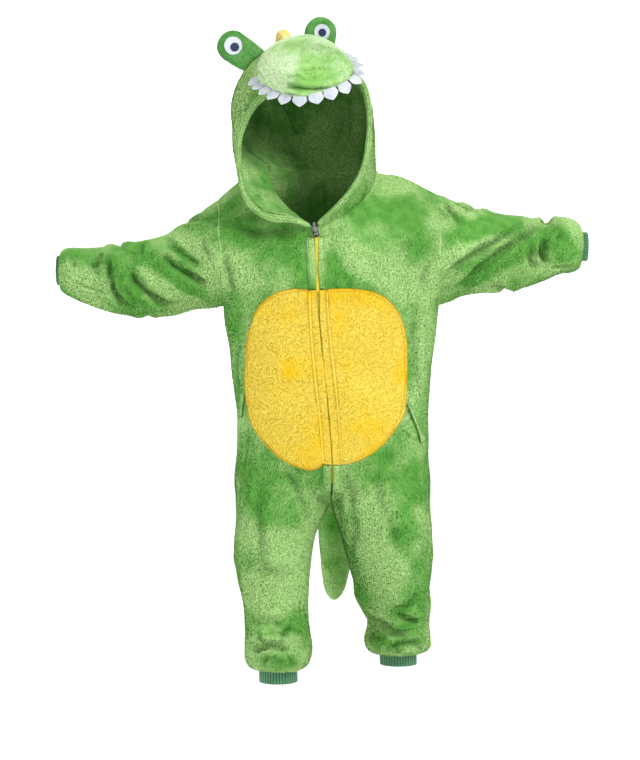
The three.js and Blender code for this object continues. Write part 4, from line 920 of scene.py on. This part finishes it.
blade = one_blade()
PILE_TREES = {m.name: pile_tree(m) for m in (green_pile, pale_and_lit_pile, stalk_pile, yellow_pile, spike_pile)}
PILE = {"Density": 435000, "Length": 2.3 * MM, "Width": 0.75 * MM, "Lean": 2.6, "Blade": blade}
SHORT_PILE = {**PILE, "Density": 500000, "Length": 1.7 * MM, "Width": 0.65 * MM}


def grow_pile(cloth, node, material, cover, seed, kind):
    """Pile over a piece, as a mesh of its own, shaded as the cloth under it leans."""
    pile = mesh_object(node + "_pile", cloth.data.copy())
    keep_values(pile.data, "pile", cover)
    run_group(pile, PILE_TREES[material.name], {**kind, "Seed": seed})
    facing = np.zeros(len(pile.data.vertices) * 3, np.float32)
    pile.data.attributes["facing"].data.foreach_get("vector", facing)
    pile.data.normals_split_custom_set_from_vertices(facing.reshape(-1, 3))
    dress(pile)


def bare_where(points, covers, reach):
    """0 where another piece lies on these points, up to 1 a reach away from it."""
    clear = np.ones(len(points))
    for tree in covers:
        for i, p in enumerate(points):
            if clear[i] > 0:
                hit = tree.find_nearest(Vector(p), reach)
                if hit[0] is not None:
                    clear[i] = min(clear[i], max(0, hit[3] / reach * 2 - 1))
    return clear


PANELS = (
    "front_left", "front_right", "back_left", "back_right",
    "sleeve_left", "sleeve_right", "hood_left", "hood_right",
)
made = {}


# Seams: the turned-in edge of each panel, as a roll along the middle of its cut edge.
SEAM_RADIUS = 1.75 * MM
LAID_RADIUS = 1.3 * MM
SEAM_SIDES = 6
SEAM_PITCH = 5 * MM
SEAM_CLOSES = 20 * MM
WALL = 3 * MM
ACROSS_WALL = 1.35 * WALL
FEWEST_POINTS = 7
TUBE_SIDE = Vector((0.31, 0.9, 0.3))


def walked(beside):
    """The chains that these neighbours make, each walked from an end where it has one."""
    chains = []
    seen = set()
    for first in sorted(beside, key=lambda i: len(beside[i])):
        if first in seen:
            continue
        chain = []
        onward = [first]
        while onward:
            chain.append(onward[0])
            seen.add(onward[0])
            onward = [i for i in beside[onward[0]] if i not in seen]
        chains.append(chain)
    return [chain for chain in chains if len(chain) >= FEWEST_POINTS]


def cut_edges(node):
    """The lines along the middle of a piece's cut edges, where its two faces meet, as lists of points."""
    bm, edges = welded(node)
    meeting = Counter(vert.index for edge in edges for vert in edge.verts)
    beside = {}
    for edge in edges:
        a, b = (vert.index for vert in edge.verts)
        if edge.calc_length() > ACROSS_WALL or min(meeting[a], meeting[b]) < 3:
            beside.setdefault(a, []).append(b)
            beside.setdefault(b, []).append(a)
    bm.verts.ensure_lookup_table()
    place = {i: bm.verts[i].co.copy() for i in beside}
    bm.free()
    chains = walked(beside)
    lines = []
    for k, chain in enumerate(chains):
        others = [place[i] for other in chains[k + 1 :] for i in other]
        if not others:
            continue
        finder = finder_of(others)
        pairs = [(place[i], finder.find(place[i])) for i in chain]
        line = [(at + found[0]) / 2 for at, found in pairs if found[2] < ACROSS_WALL]
        if len(line) >= FEWEST_POINTS:
            lines.append(line)
    return lines


def evenly(line, pitch, closed):
    """Points at an even pitch along a line."""
    line = np.array(line, float)
    if closed:
        line = np.vstack([line, line[:1]])
    run = np.concatenate([[0], np.cumsum(np.linalg.norm(np.diff(line, axis=0), axis=1))])
    count = max(4, int(run[-1] / pitch))
    wanted = np.linspace(0, run[-1], count, endpoint=not closed)
    return np.stack([np.interp(wanted, run, line[:, k]) for k in range(3)], axis=1)


def add_tube(bm, line, radius, closed):
    """A round roll along a line."""
    rings = []
    count = len(line)
    angles = [2 * math.pi * j / SEAM_SIDES for j in range(SEAM_SIDES)]
    for i, at in enumerate(line):
        before = line[(i - 1) % count] if closed or i else at
        after = line[(i + 1) % count] if closed or i < count - 1 else at
        along = Vector(after - before).normalized()
        side = along.cross(TUBE_SIDE).normalized()
        up = along.cross(side)
        ways = [side * math.cos(t) + up * math.sin(t) for t in angles]
        rings.append([bm.verts.new(Vector(at) + radius * way) for way in ways])
    join_rings(bm, rings + rings[:1] if closed else rings, ends=not closed)


def roll_along(name, lines, radius, material):
    """A round roll of cloth along each of these lines, which are given with whether they close."""
    bm = bmesh.new()
    for line, closed in lines:
        add_tube(bm, line, radius, closed)
    dress(turned_out(bm, name, material))


def seam_roll(node, material, points, moved, radius=SEAM_RADIUS):
    """The rolled seam of a panel, which moves as its cloth did."""
    finder = finder_of(points)
    lines = []
    for line in cut_edges(node):
        closed = (line[0] - line[-1]).length < SEAM_CLOSES
        line = evenly(line, SEAM_PITCH, closed)
        near = [[i for spot, i, away in finder.find_n(Vector(p), 4)] for p in line]
        lines.append((line + np.array([np.mean(moved[i], axis=0) for i in near]), closed))
    roll_along(node + "_seam", lines, radius, material)


WHOLE_ROW = 0.75
STRIP_PITCH = 6 * MM
STRIP_END = 2 * MM
AHEAD = -1
BACKWARD = Vector((0, 1, 0))


def strip_line(piece, share, inset):
    """A line down a strip on the front, inset from its edges. Share 0 is the right edge and 1 the left."""
    points = points_of(piece.data)
    tree = tree_of(piece.data)
    low, high = points[:, 2].min() + STRIP_END, points[:, 2].max() - STRIP_END
    levels = sorted({round(z / MM) for z in points[:, 2]})
    rows = [points[np.abs(points[:, 2] - level * MM) <= MM] for level in levels]
    wide = np.array([np.ptp(row[:, 0]) for row in rows])
    whole = wide > WHOLE_ROW * wide.max()
    at = np.array(levels)[whole]
    bend = min(3, len(at) - 1)
    lefts = np.polyfit(at, np.array([row[:, 0].min() for row in rows])[whole], bend)
    rights = np.polyfit(at, np.array([row[:, 0].max() for row in rows])[whole], bend)
    line = []
    for z in np.linspace(high, low, max(3, int((high - low) / STRIP_PITCH))):
        left = np.polyval(lefts, z / MM) + inset
        right = np.polyval(rights, z / MM) - inset
        hit = tree.ray_cast(Vector((left + share * (right - left), AHEAD, z)), BACKWARD)[0]
        if hit:
            line.append(hit)
    return line


EDGE_RADIUS = 2.6 * MM
EDGE_INSET = 1.4 * MM
EDGE_BACK = 1.6 * MM
EDGE_OUT = 1.9 * MM


def band_edge(band, node, material, share):
    """The yellow cloth that rolls out from under a band, between it and the belly."""
    shift = Vector((EDGE_OUT * (2 * share - 1), EDGE_BACK, 0))
    line = np.array([tuple(p + shift) for p in strip_line(band, share, EDGE_INSET)])
    roll_along(node + "_edge", [(line, False)], EDGE_RADIUS, material)


def replace_node(piece, node):
    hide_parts(node)
    made[node] = dress(piece)


def node_tree(node):
    return tree_of(nodes[node].data)


PANEL_ROUNDING = 1.2 * MM
HOOD_INSIDE = 0.5
ON_TOP = {"front": ("belly", "zip_band", "pocket"), "hood": ("eye_stalk", "snout")}
BARE_REACH = 3 * MM
HEM_STAND = 0.6
cloths = {node: softened(node, node + "_cloth", green_cloth, PANEL_ROUNDING) for node in PANELS}
for node, cloth in cloths.items():
    find_folds(node, tree_of(cloth.data))
    find_nap_and_painted_light(node, tree_of(cloth.data))
for seed, (node, cloth) in enumerate(cloths.items()):
    outer, unmoved, moved = creased(cloth, node)
    brush_nap_and_painted_light(cloth)
    replace_node(cloth, node)
    seam_roll(node, green_cloth, unmoved, moved)
    cover = np.where(outer, 1.0, HOOD_INSIDE) if node.startswith("hood") else outer.astype(float)
    points = points_of(cloth.data)
    on_top = [n for n in nodes if n.startswith(ON_TOP.get(node.split("_")[0], ()))]
    if on_top:
        near = np.flatnonzero(cover > 0)
        cover[near] = bare_where(points[near], [node_tree(n) for n in on_top], BARE_REACH)
    grow_pile(cloth, node, green_pile, cover, seed, PILE)

# Pieces laid on the front: their slot, cloth and pile.
LAID_ROUNDING = 0.6 * MM
LAID_SEED = 30
GREEN_FLEECE = ("fleece_green", green_cloth, green_pile)
YELLOW_FLEECE = ("fleece_yellow", yellow_cloth, yellow_pile)
LAID = {
    "belly": YELLOW_FLEECE,
    "zip_band_upper": GREEN_FLEECE,
    "zip_band_belly": YELLOW_FLEECE,
    "zip_band_lower": GREEN_FLEECE,
    "pocket": GREEN_FLEECE,
}
for seed, (kind, (slot, cloth_material, pile_material)) in enumerate(LAID.items()):
    for side in SIDES:
        node = f"{kind}_{side}"
        cloth = softened(node, node + "_cloth", cloth_material, LAID_ROUNDING)
        outer, unmoved, moved = creased(cloth, node)
        replace_node(cloth, node)
        if kind == "belly":
            # The belly's seam roll is darker yellow: painted shade round its edge.
            seam_roll(node, yellow_seam, unmoved, moved, LAID_RADIUS)
        if slot == "fleece_green":
            brush_nap_and_painted_light(cloth, HEM_STAND)
        if kind == "zip_band_belly":
            band_edge(cloth, node, cloth_material, 1 if side == "left" else 0)
        grow_pile(cloth, node, pile_material, outer.astype(float), LAID_SEED + seed, SHORT_PILE)

STUFFED_SEED = 60
STUFFED_WAVES = (0.02, 0.5 * MM)
SPIKE_PLUMP = 1.45
HOOD_PLUMP = 2.0
SETTLE_REACH = 6 * MM
SETTLE_MOST = 3.5 * MM
# The snout takes the paler fleece, which carries painted light.
STUFFED = {"snout": ("fleece_green", pale_and_lit_cloth, pale_and_lit_pile), "tail": GREEN_FLEECE}
for side in SIDES:
    STUFFED["eye_stalk_" + side] = ("fleece_green", stalk_cloth, stalk_pile)
    STUFFED["hood_hem_" + side] = GREEN_FLEECE
for node in nodes:
    if node.startswith("spike"):
        STUFFED[node] = ("fleece_yellow", spike_cloth, spike_pile)


def plumper(points, share):
    """A stuffed piece's points, spread along the way in which it is thinnest."""
    middle = points.mean(axis=0)
    thin = np.linalg.svd(points - middle, full_matrices=False)[2][2]
    return points + np.outer((points - middle) @ thin, thin) * (share - 1)


def settled(points, trees):
    """Points near these surfaces, drawn onto them, as where a stuffed piece is sewn down."""
    drawn = points.copy()
    for tree in trees:
        for i, p in enumerate(points):
            spot, way, face, away = tree.find_nearest(Vector(p), SETTLE_REACH)
            if spot is not None and away > 0:
                drawn[i] = p + np.array(spot - Vector(p)) * min(1, SETTLE_MOST / away)
    return drawn


hood_trees = [tree_of(made["hood_" + side].data) for side in SIDES]
for seed, (node, (slot, cloth_material, pile_material)) in enumerate(STUFFED.items(), STUFFED_SEED):
    cloth = softened(node, node + "_cloth", cloth_material)
    points = points_of(cloth.data)
    if node.startswith("spike"):
        points = plumper(points, HOOD_PLUMP if node == "spike_hood_1" else SPIKE_PLUMP)
    if node.startswith("eye_stalk"):
        points = settled(points, hood_trees)
    put_points(cloth.data, points)
    pitch, height = STUFFED_WAVES
    push = height * waves(points, pitch, seed)
    if node == "snout":
        own = len(fold_lines)
        find_folds(node, tree_of(cloth.data))
        for line, width, depth in fold_lines[own:]:
            push += fold_push(points, line, width, depth)
    put_points(cloth.data, points + points_of(cloth.data, "normal") * push[:, None])
    # The snout's fold troughs get painted shade as well.
    if node == "snout":
        paint_crease_shade(cloth, points)
    if node.startswith("hood_hem"):
        brush_nap_and_painted_light(cloth, HEM_STAND)
    replace_node(cloth, node)
    grow_pile(cloth, node, pile_material, np.ones(len(points)), seed, SHORT_PILE)


# Rib-knit cuffs: the seam's middle, the way out, radius, reach inside the fleece and reach beyond it, in mm.
CUFFS = {
    "wrist_left": ((373, 20, -85), (1, 0, 0), 21.9, 4, 14),
    "wrist_right": ((-397, -20, -121), (-1, 0, 0), 21.9, 4, 9),
    "ankle_left": ((105, 55, -700), (0, 0, -1), 28.6, 4, 24),
    "ankle_right": ((-77, -56, -704), (0, 0, -1), 28.6, 4, 26),
}
KNIT_RIBS = 40
KNIT_THICK = 1.7
KNIT_RISE = 0.8
POINTS_A_RIB = 5
RIB_FROM = 3


def rib_cuff(name):
    """A knitted tube: ribs round its outside, a plain inside and a soft folded edge."""
    at, out, radius, inside, beyond = CUFFS[name]
    axis = Vector(out)
    across = Vector((0, 1, 0)).cross(axis).normalized()
    up = axis.cross(across)
    around = KNIT_RIBS * POINTS_A_RIB
    edge = KNIT_THICK / 2
    outline = [(-inside, radius - KNIT_THICK), (beyond - edge, radius - KNIT_THICK)]
    outline += [(beyond - edge * 0.3, radius - edge * 1.7), (beyond, radius - edge)]
    outline += [(beyond - edge * 0.3, radius - edge * 0.3)]
    outline += [(mix, radius) for mix in np.linspace(beyond - edge, -inside, 7)]
    bm = bmesh.new()
    rib_layer = bm.verts.layers.float.new("rib")
    rings = []
    for k, (along, reach) in enumerate(outline):
        ring = []
        for j in range(around):
            angle = 2 * math.pi * j / around
            wave = 0.5 + 0.5 * math.cos(KNIT_RIBS * angle)
            slack = 0.5 * math.sin(3 * angle + along * 0.16) + 0.3 * math.sin(7 * angle - along * 0.1)
            dip = KNIT_RISE * (1 - wave) if k >= RIB_FROM else 0
            away = (reach - dip + slack * 0.6) * MM
            turn = across * away * math.cos(angle) + up * away * math.sin(angle)
            vert = bm.verts.new(Vector(at) * MM + axis * along * MM + turn)
            # Kept for the knit's painted shade, which is dark in the valleys between ribs.
            vert[rib_layer] = wave
            ring.append(vert)
        rings.append(ring)
    join_rings(bm, rings + rings[:1], ends=False)
    return turned_out(bm, "cuff_" + name + "_knit", rib_green)


for name in CUFFS:
    replace_node(rib_cuff(name), "cuff_" + name)

# Felt
FELT_ROUNDING = 0.3 * MM
EYES = (("eye_white", white_felt, "felt_white"), ("eye_pupil", navy_felt, "felt_navy"))
for side in SIDES:
    for part, material, slot in EYES:
        node = f"{part}_{side}"
        replace_node(softened(node, node + "_felt", material, FELT_ROUNDING), node)

# The snout's rim, which the teeth hang from: its middle, how it is turned, half its width, its length, in mm.
RIM_MIDDLE = Vector((-37, -70, 169))
RIM_TURN = Matrix.Rotation(math.radians(18), 3, "Z") @ Matrix.Rotation(math.radians(-20), 3, "Y")
RIM_TURN = RIM_TURN @ Matrix.Rotation(math.radians(23), 3, "X")
RIM_HALF = 65
RIM_LENGTH = 86
RIM_SQUARE = 2.5
RIM_STEPS = 480
TEETH = 15
TEETH_REACH = (-204, 24)
TEETH_DROP = (12, 46)
TOOTH_LONG = 16.4
TOOTH_SWAY = 0.1
TOOTH_CURL = 1.1
TOOTH_ASIDE = 3 * MM
FELT_THICK = 1.5
# A tooth's outline: the share of its length, then its half width as a share of the room for one.
LEAF = (
    (-0.1, 0.42), (0.02, 0.42), (0.12, 0.45), (0.26, 0.49), (0.4, 0.5),
    (0.54, 0.46), (0.68, 0.37), (0.82, 0.24), (0.93, 0.11), (1.0, 0.02),
)
# Round a tooth: the share of its half width, then of the felt's thickness.
LEAF_ROUND = ((-1, 0), (0, -0.16), (1, 0), (1, 1), (0, 1.16), (-1, 1))


def rim_point(degrees):
    angle = math.radians(degrees)
    bent = [math.copysign(abs(part) ** (2 / RIM_SQUARE), part) for part in (math.cos(angle), math.sin(angle))]
    return Vector((RIM_HALF * bent[0], RIM_LENGTH * bent[1], 0))


def in_head(point):
    """A place on the rim's own axes, in the frame."""
    return (RIM_MIDDLE + RIM_TURN @ point) * MM


def leaf_teeth():
    """Leaf-shaped felt teeth along the snout's rim, as wide at its sides as in front, none quite alike."""
    solid = node_tree("teeth_strip")
    turns = np.linspace(*TEETH_REACH, RIM_STEPS)
    places = np.array([rim_point(t) for t in turns])
    run = np.concatenate([[0], np.cumsum(np.linalg.norm(np.diff(places, axis=0), axis=1))])
    room = run[-1] / TEETH
    bm = bmesh.new()
    for k in range(TEETH):
        turn = np.interp(room * (k + 0.5), run, turns)
        root = rim_point(turn)
        along = (rim_point(turn + 1) - rim_point(turn - 1)).normalized()
        out = root.normalized()
        out -= along * out.dot(along)
        drop = TEETH_DROP[0] + (TEETH_DROP[1] - TEETH_DROP[0]) * abs(math.sin(math.radians(turn))) ** 1.5
        out.z = -math.tan(math.radians(drop)) * out.length
        out.normalize()
        thick = out.cross(along).normalized()
        if thick.z < 0:
            thick = -thick
        sway = TOOTH_SWAY * math.sin(5.1 * k + 1)
        if solid.find_nearest(in_head(root + out * TOOTH_LONG * 0.5))[3] > TOOTH_ASIDE:
            continue
        rows = []
        for share, wide in LEAF:
            curl = TOOTH_CURL * math.sin(2.3 * k) * share * share
            centre = root + out * (0.4 + TOOTH_LONG * share) + along * sway * TOOTH_LONG * share
            centre += thick * (curl - 0.4)
            spots = [centre + along * a * wide * room + thick * lift * FELT_THICK for a, lift in LEAF_ROUND]
            rows.append([bm.verts.new(in_head(spot)) for spot in spots])
        join_rings(bm, rows)
    teeth = turned_out(bm, "teeth_felt", white_felt)
    edges = teeth.modifiers.new("edges", "BEVEL")
    edges.width = FELT_ROUNDING
    edges.segments = 2
    edges.limit_method = "ANGLE"
    return evaluated(teeth)


replace_node(leaf_teeth(), "teeth_strip")

# Zip
replace_node(softened("zip_tape", "zip_tape_cloth", tape_cloth), "zip_tape")


def repeated_tree(name, material):
    """Geometry nodes that repeat one small shape along a path at an even pitch, turned to follow it."""
    tree, add, enter = node_group(name, (
        ("Pitch", "Float", 4 * MM), ("Unevenness", "Float", 0.1), ("Swing", "Float", 0.0), ("Seed", "Int", 1),
        ("Shape", "Object", None),
    ))
    path = add("GeometryNodeMeshToCurve", {"Mesh": enter["Geometry"]}).outputs["Curve"]
    even = add("GeometryNodeResampleCurve", {"Curve": path, "Length": enter["Pitch"]}, mode="LENGTH")
    tangent = add("GeometryNodeInputTangent").outputs["Tangent"]
    stood = add("FunctionNodeAlignRotationToVector", {"Vector": (0.0, -1.0, 0.0)}, axis="Z")
    along = {"Rotation": stood.outputs["Rotation"], "Vector": tangent}
    turned = add("FunctionNodeAlignRotationToVector", along, axis="X", pivot_axis="Z").outputs["Rotation"]
    low = maths(add, "SUBTRACT", 1.0, enter["Unevenness"])
    high = maths(add, "ADD", 1.0, enter["Unevenness"])
    size = draw(add, enter["Seed"], low, high)
    swung = draw(add, enter["Seed"], maths(add, "SUBTRACT", 0.0, enter["Swing"]), enter["Swing"])
    spun = turned_by(add, turned, swung)
    points = {"Points": even.outputs["Curve"], "Rotation": spun, "Scale": size}
    return end_group(tree, add, material, enter["Shape"], points)


ROW_GAP = 20 * MM


def repeat_along(name, lines, shape, material, pitch, unevenness, swing=0.0, seed=1):
    """A piece made of one small shape repeated along these lines. A wide gap in a line stays open."""
    places = [tuple(p) for line in lines for p in line]
    joins = []
    start = 0
    for line in lines:
        for i, (at, after) in enumerate(zip(line, line[1:]), start):
            if (Vector(after) - Vector(at)).length < ROW_GAP:
                joins.append((i, i + 1))
        start += len(line)
    mesh = bpy.data.meshes.new(name)
    mesh.from_pydata(places, joins, [])
    piece = mesh_object(name, mesh)
    values = {"Pitch": pitch, "Unevenness": unevenness, "Swing": swing, "Seed": seed, "Shape": shape}
    run_group(piece, repeated_tree(name, material), values)
    return dress(piece)


SMALL_SIDES = 6


def small_shape(name, rows):
    """A small closed shape, in mm: cross-sections along x, each its place, half width and half height."""
    bm = bmesh.new()
    turns = [2 * math.pi * j / SMALL_SIDES for j in range(SMALL_SIDES)]
    rings = []
    for along, wide, high in rows:
        spots = [(along * MM, wide * MM * math.cos(t), high * MM * math.sin(t)) for t in turns]
        rings.append([bm.verts.new(spot) for spot in spots])
    join_rings(bm, rings)
    return turned_out(bm, name)


stitch = small_shape("stitch", ((-1.25, 0.12, 0.1), (-0.9, 0.36, 0.3), (0.9, 0.36, 0.3), (1.25, 0.12, 0.1)))
tooth = small_shape("zip_tooth", ((-0.45, 3.1, 0.7), (-0.34, 3.4, 0.95), (0.34, 3.4, 0.95), (0.45, 3.1, 0.7)))
TOOTH_PITCH = 1.3 * MM
TOOTH_UNEVEN = 0.02
BELLY_TOP = -0.148
BELLY_BOTTOM = -0.404
# How far the zip's teeth stand out, above each of these heights: clear of the green bands at the neck, level
# with the belly's bands, and hidden under the green ones at the bottom.
CHAIN_PROUD = ((BELLY_TOP, 2.8 * MM), (BELLY_BOTTOM, 0.4 * MM), (-1, -3 * MM))

chain_form = softened("zip_chain", "zip_chain_form", tooth_plastic)
chain_line = strip_line(chain_form, 0.5, 0)
bpy.data.objects.remove(chain_form)
chain_line = [p - Vector((0, next(out for low, out in CHAIN_PROUD if p.z > low), 0)) for p in chain_line]
teeth = repeat_along(
    "zip_chain_teeth", [chain_line], tooth, tooth_plastic, TOOTH_PITCH, TOOTH_UNEVEN
)
replace_node(teeth, "zip_chain")

# Stitches
STITCH_PITCH = 3.2 * MM
STITCH_PROUD = 0.9 * MM
STITCH_UNEVEN = 0.12
STITCH_SWING = 0.06
BAND_INSET = 2.2 * MM
BELLY_INSET = 2.6 * MM
POCKET_INSET = 1.6 * MM
BAND_SEED = 5
EDGE_SEED = 9
HEM_SEED = 13


def sew(node, lines, threads, seed):
    name = node + "_stitches"
    repeat_along(name, lines, stitch, threads, STITCH_PITCH, STITCH_UNEVEN, STITCH_SWING, seed)


def proud(line):
    return [Vector(p) - BACKWARD * STITCH_PROUD for p in line]


for side, outer_share in (("left", 1), ("right", 0)):
    for part, threads in (("upper", green_thread), ("belly", yellow_thread), ("lower", green_thread)):
        node = f"zip_band_{part}_{side}"
        sew(node, [proud(strip_line(made[node], outer_share, BAND_INSET))], threads, BAND_SEED)


def edge_stitches(node, threads, inset):
    """Stitches just inside the edge of a piece that is laid on the front."""
    tree = tree_of(made[node].data)
    lines = []
    for line in cut_edges(node):
        middle = np.mean([tuple(p) for p in line], axis=0)
        ring = []
        for p in evenly(line, STRIP_PITCH, True):
            way = Vector((middle[0] - p[0], 0, middle[2] - p[2])).normalized()
            hit = tree.ray_cast(Vector((p[0], AHEAD, p[2])) + way * inset, BACKWARD)[0]
            if hit:
                ring.append(hit)
        lines.append(proud(ring + ring[:1]))
    sew(node, lines, threads, EDGE_SEED)


for side in SIDES:
    edge_stitches("belly_" + side, yellow_thread, BELLY_INSET)
    edge_stitches("pocket_" + side, green_thread, POCKET_INSET)

# The hood's hem is stitched down twice, along its front.
FACE_MIDDLE = (-0.040, 0.045)
HEM_STEPS = 40
HEM_REACH = 8 * MM
HEM_FROM = 30 * MM
HEM_PROUD = 0.7 * MM
HEM_WAY = Vector((0, -1, 0))
HEM_ROWS = (2.4 * MM, -1.6 * MM)


def hem_middle(node):
    """The line along the middle of a hem, found by the turn of its points round the face opening."""
    points = points_of(made[node].data)
    turns = np.arctan2(points[:, 0] - FACE_MIDDLE[0], points[:, 2] - FACE_MIDDLE[1])
    edges = np.quantile(turns, np.linspace(0, 1, HEM_STEPS + 1))
    return [Vector(points[(turns >= a) & (turns <= b)].mean(axis=0)) for a, b in zip(edges, edges[1:])]


for side in SIDES:
    node = "hood_hem_" + side
    middle = hem_middle(node)
    tree = tree_of(made[node].data)
    lines = []
    for offset in HEM_ROWS:
        line = []
        for before, at, after in zip(middle, middle[1:], middle[2:]):
            across = (after - before).cross(HEM_WAY).normalized()
            hit = tree.ray_cast(at + across * offset + HEM_WAY * HEM_FROM, -HEM_WAY)[0]
            if hit and (hit - at).length < HEM_REACH:
                line.append(hit + HEM_WAY * HEM_PROUD)
        lines.append(line)
    sew(node, lines, green_thread, HEM_SEED)
for node, metal in (("zip_slider", slider_metal), ("zip_pull", pull_metal)):
    nodes[node].data.materials.clear()
    nodes[node].data.materials.append(metal)

for shape in (blade, stitch, tooth):
    bpy.data.objects.remove(shape)

# Studio
FLOOR_DROP = 0.06
STAGE_SIZE = 14
WHITE = (1, 1, 1, 1)
PALE_GREY = (0.9, 0.9, 0.9, 1)
WORLD_STRENGTH = 0.56
# Each lamp's place, size and power.
LAMPS = {
    "key": ((1.9, -2.2, 1.5), 1.0, 78),
    "fill": ((-3.0, -1.0, 0.5), 1.6, 38),
    "rim": ((0.6, 2.2, 1.6), 1.4, 26),
}


def stage_sheet(name, steps, place, turn, inputs):
    bpy.ops.mesh.primitive_grid_add(
        x_subdivisions=steps, y_subdivisions=steps, size=STAGE_SIZE, location=place
    )
    sheet = bpy.context.object
    sheet.name = name
    sheet.rotation_euler = turn
    sheet.data.materials.append(feed(new_material(name), inputs))


def studio():
    """A pale floor, a white wall and soft light, stronger from the costume's left side."""
    wall = {"Emission Color": WHITE, "Emission Strength": 1.0}
    floor = {**wall, "Base Color": PALE_GREY, "Roughness": 0.8, "Emission Strength": 0.25}
    stage_sheet("studio_floor", 8, (0, 2.5, cad_box[0].z - FLOOR_DROP), (0, 0, 0), floor)
    stage_sheet("studio_wall", 2, (0, 9, 0), (math.pi / 2, 0, 0), wall)
    world = bpy.data.worlds.new("studio")
    world.use_nodes = True
    background = world.node_tree.nodes["Background"]
    set_inputs(world.node_tree, background, {"Color": WHITE, "Strength": WORLD_STRENGTH})
    bpy.context.scene.world = world
    bpy.context.scene.view_settings.view_transform = "Standard"
    for name, (place, size, power) in LAMPS.items():
        data = bpy.data.lights.new(name, "AREA")
        data.shape = "DISK"
        data.size = size
        data.energy = power
        lamp = bpy.data.objects.new(name, data)
        bpy.context.scene.collection.objects.link(lamp)
        lamp.location = place
        lamp.rotation_euler = (LOOK_AT - Vector(place)).to_track_quat("-Z", "Y").to_euler()


studio()
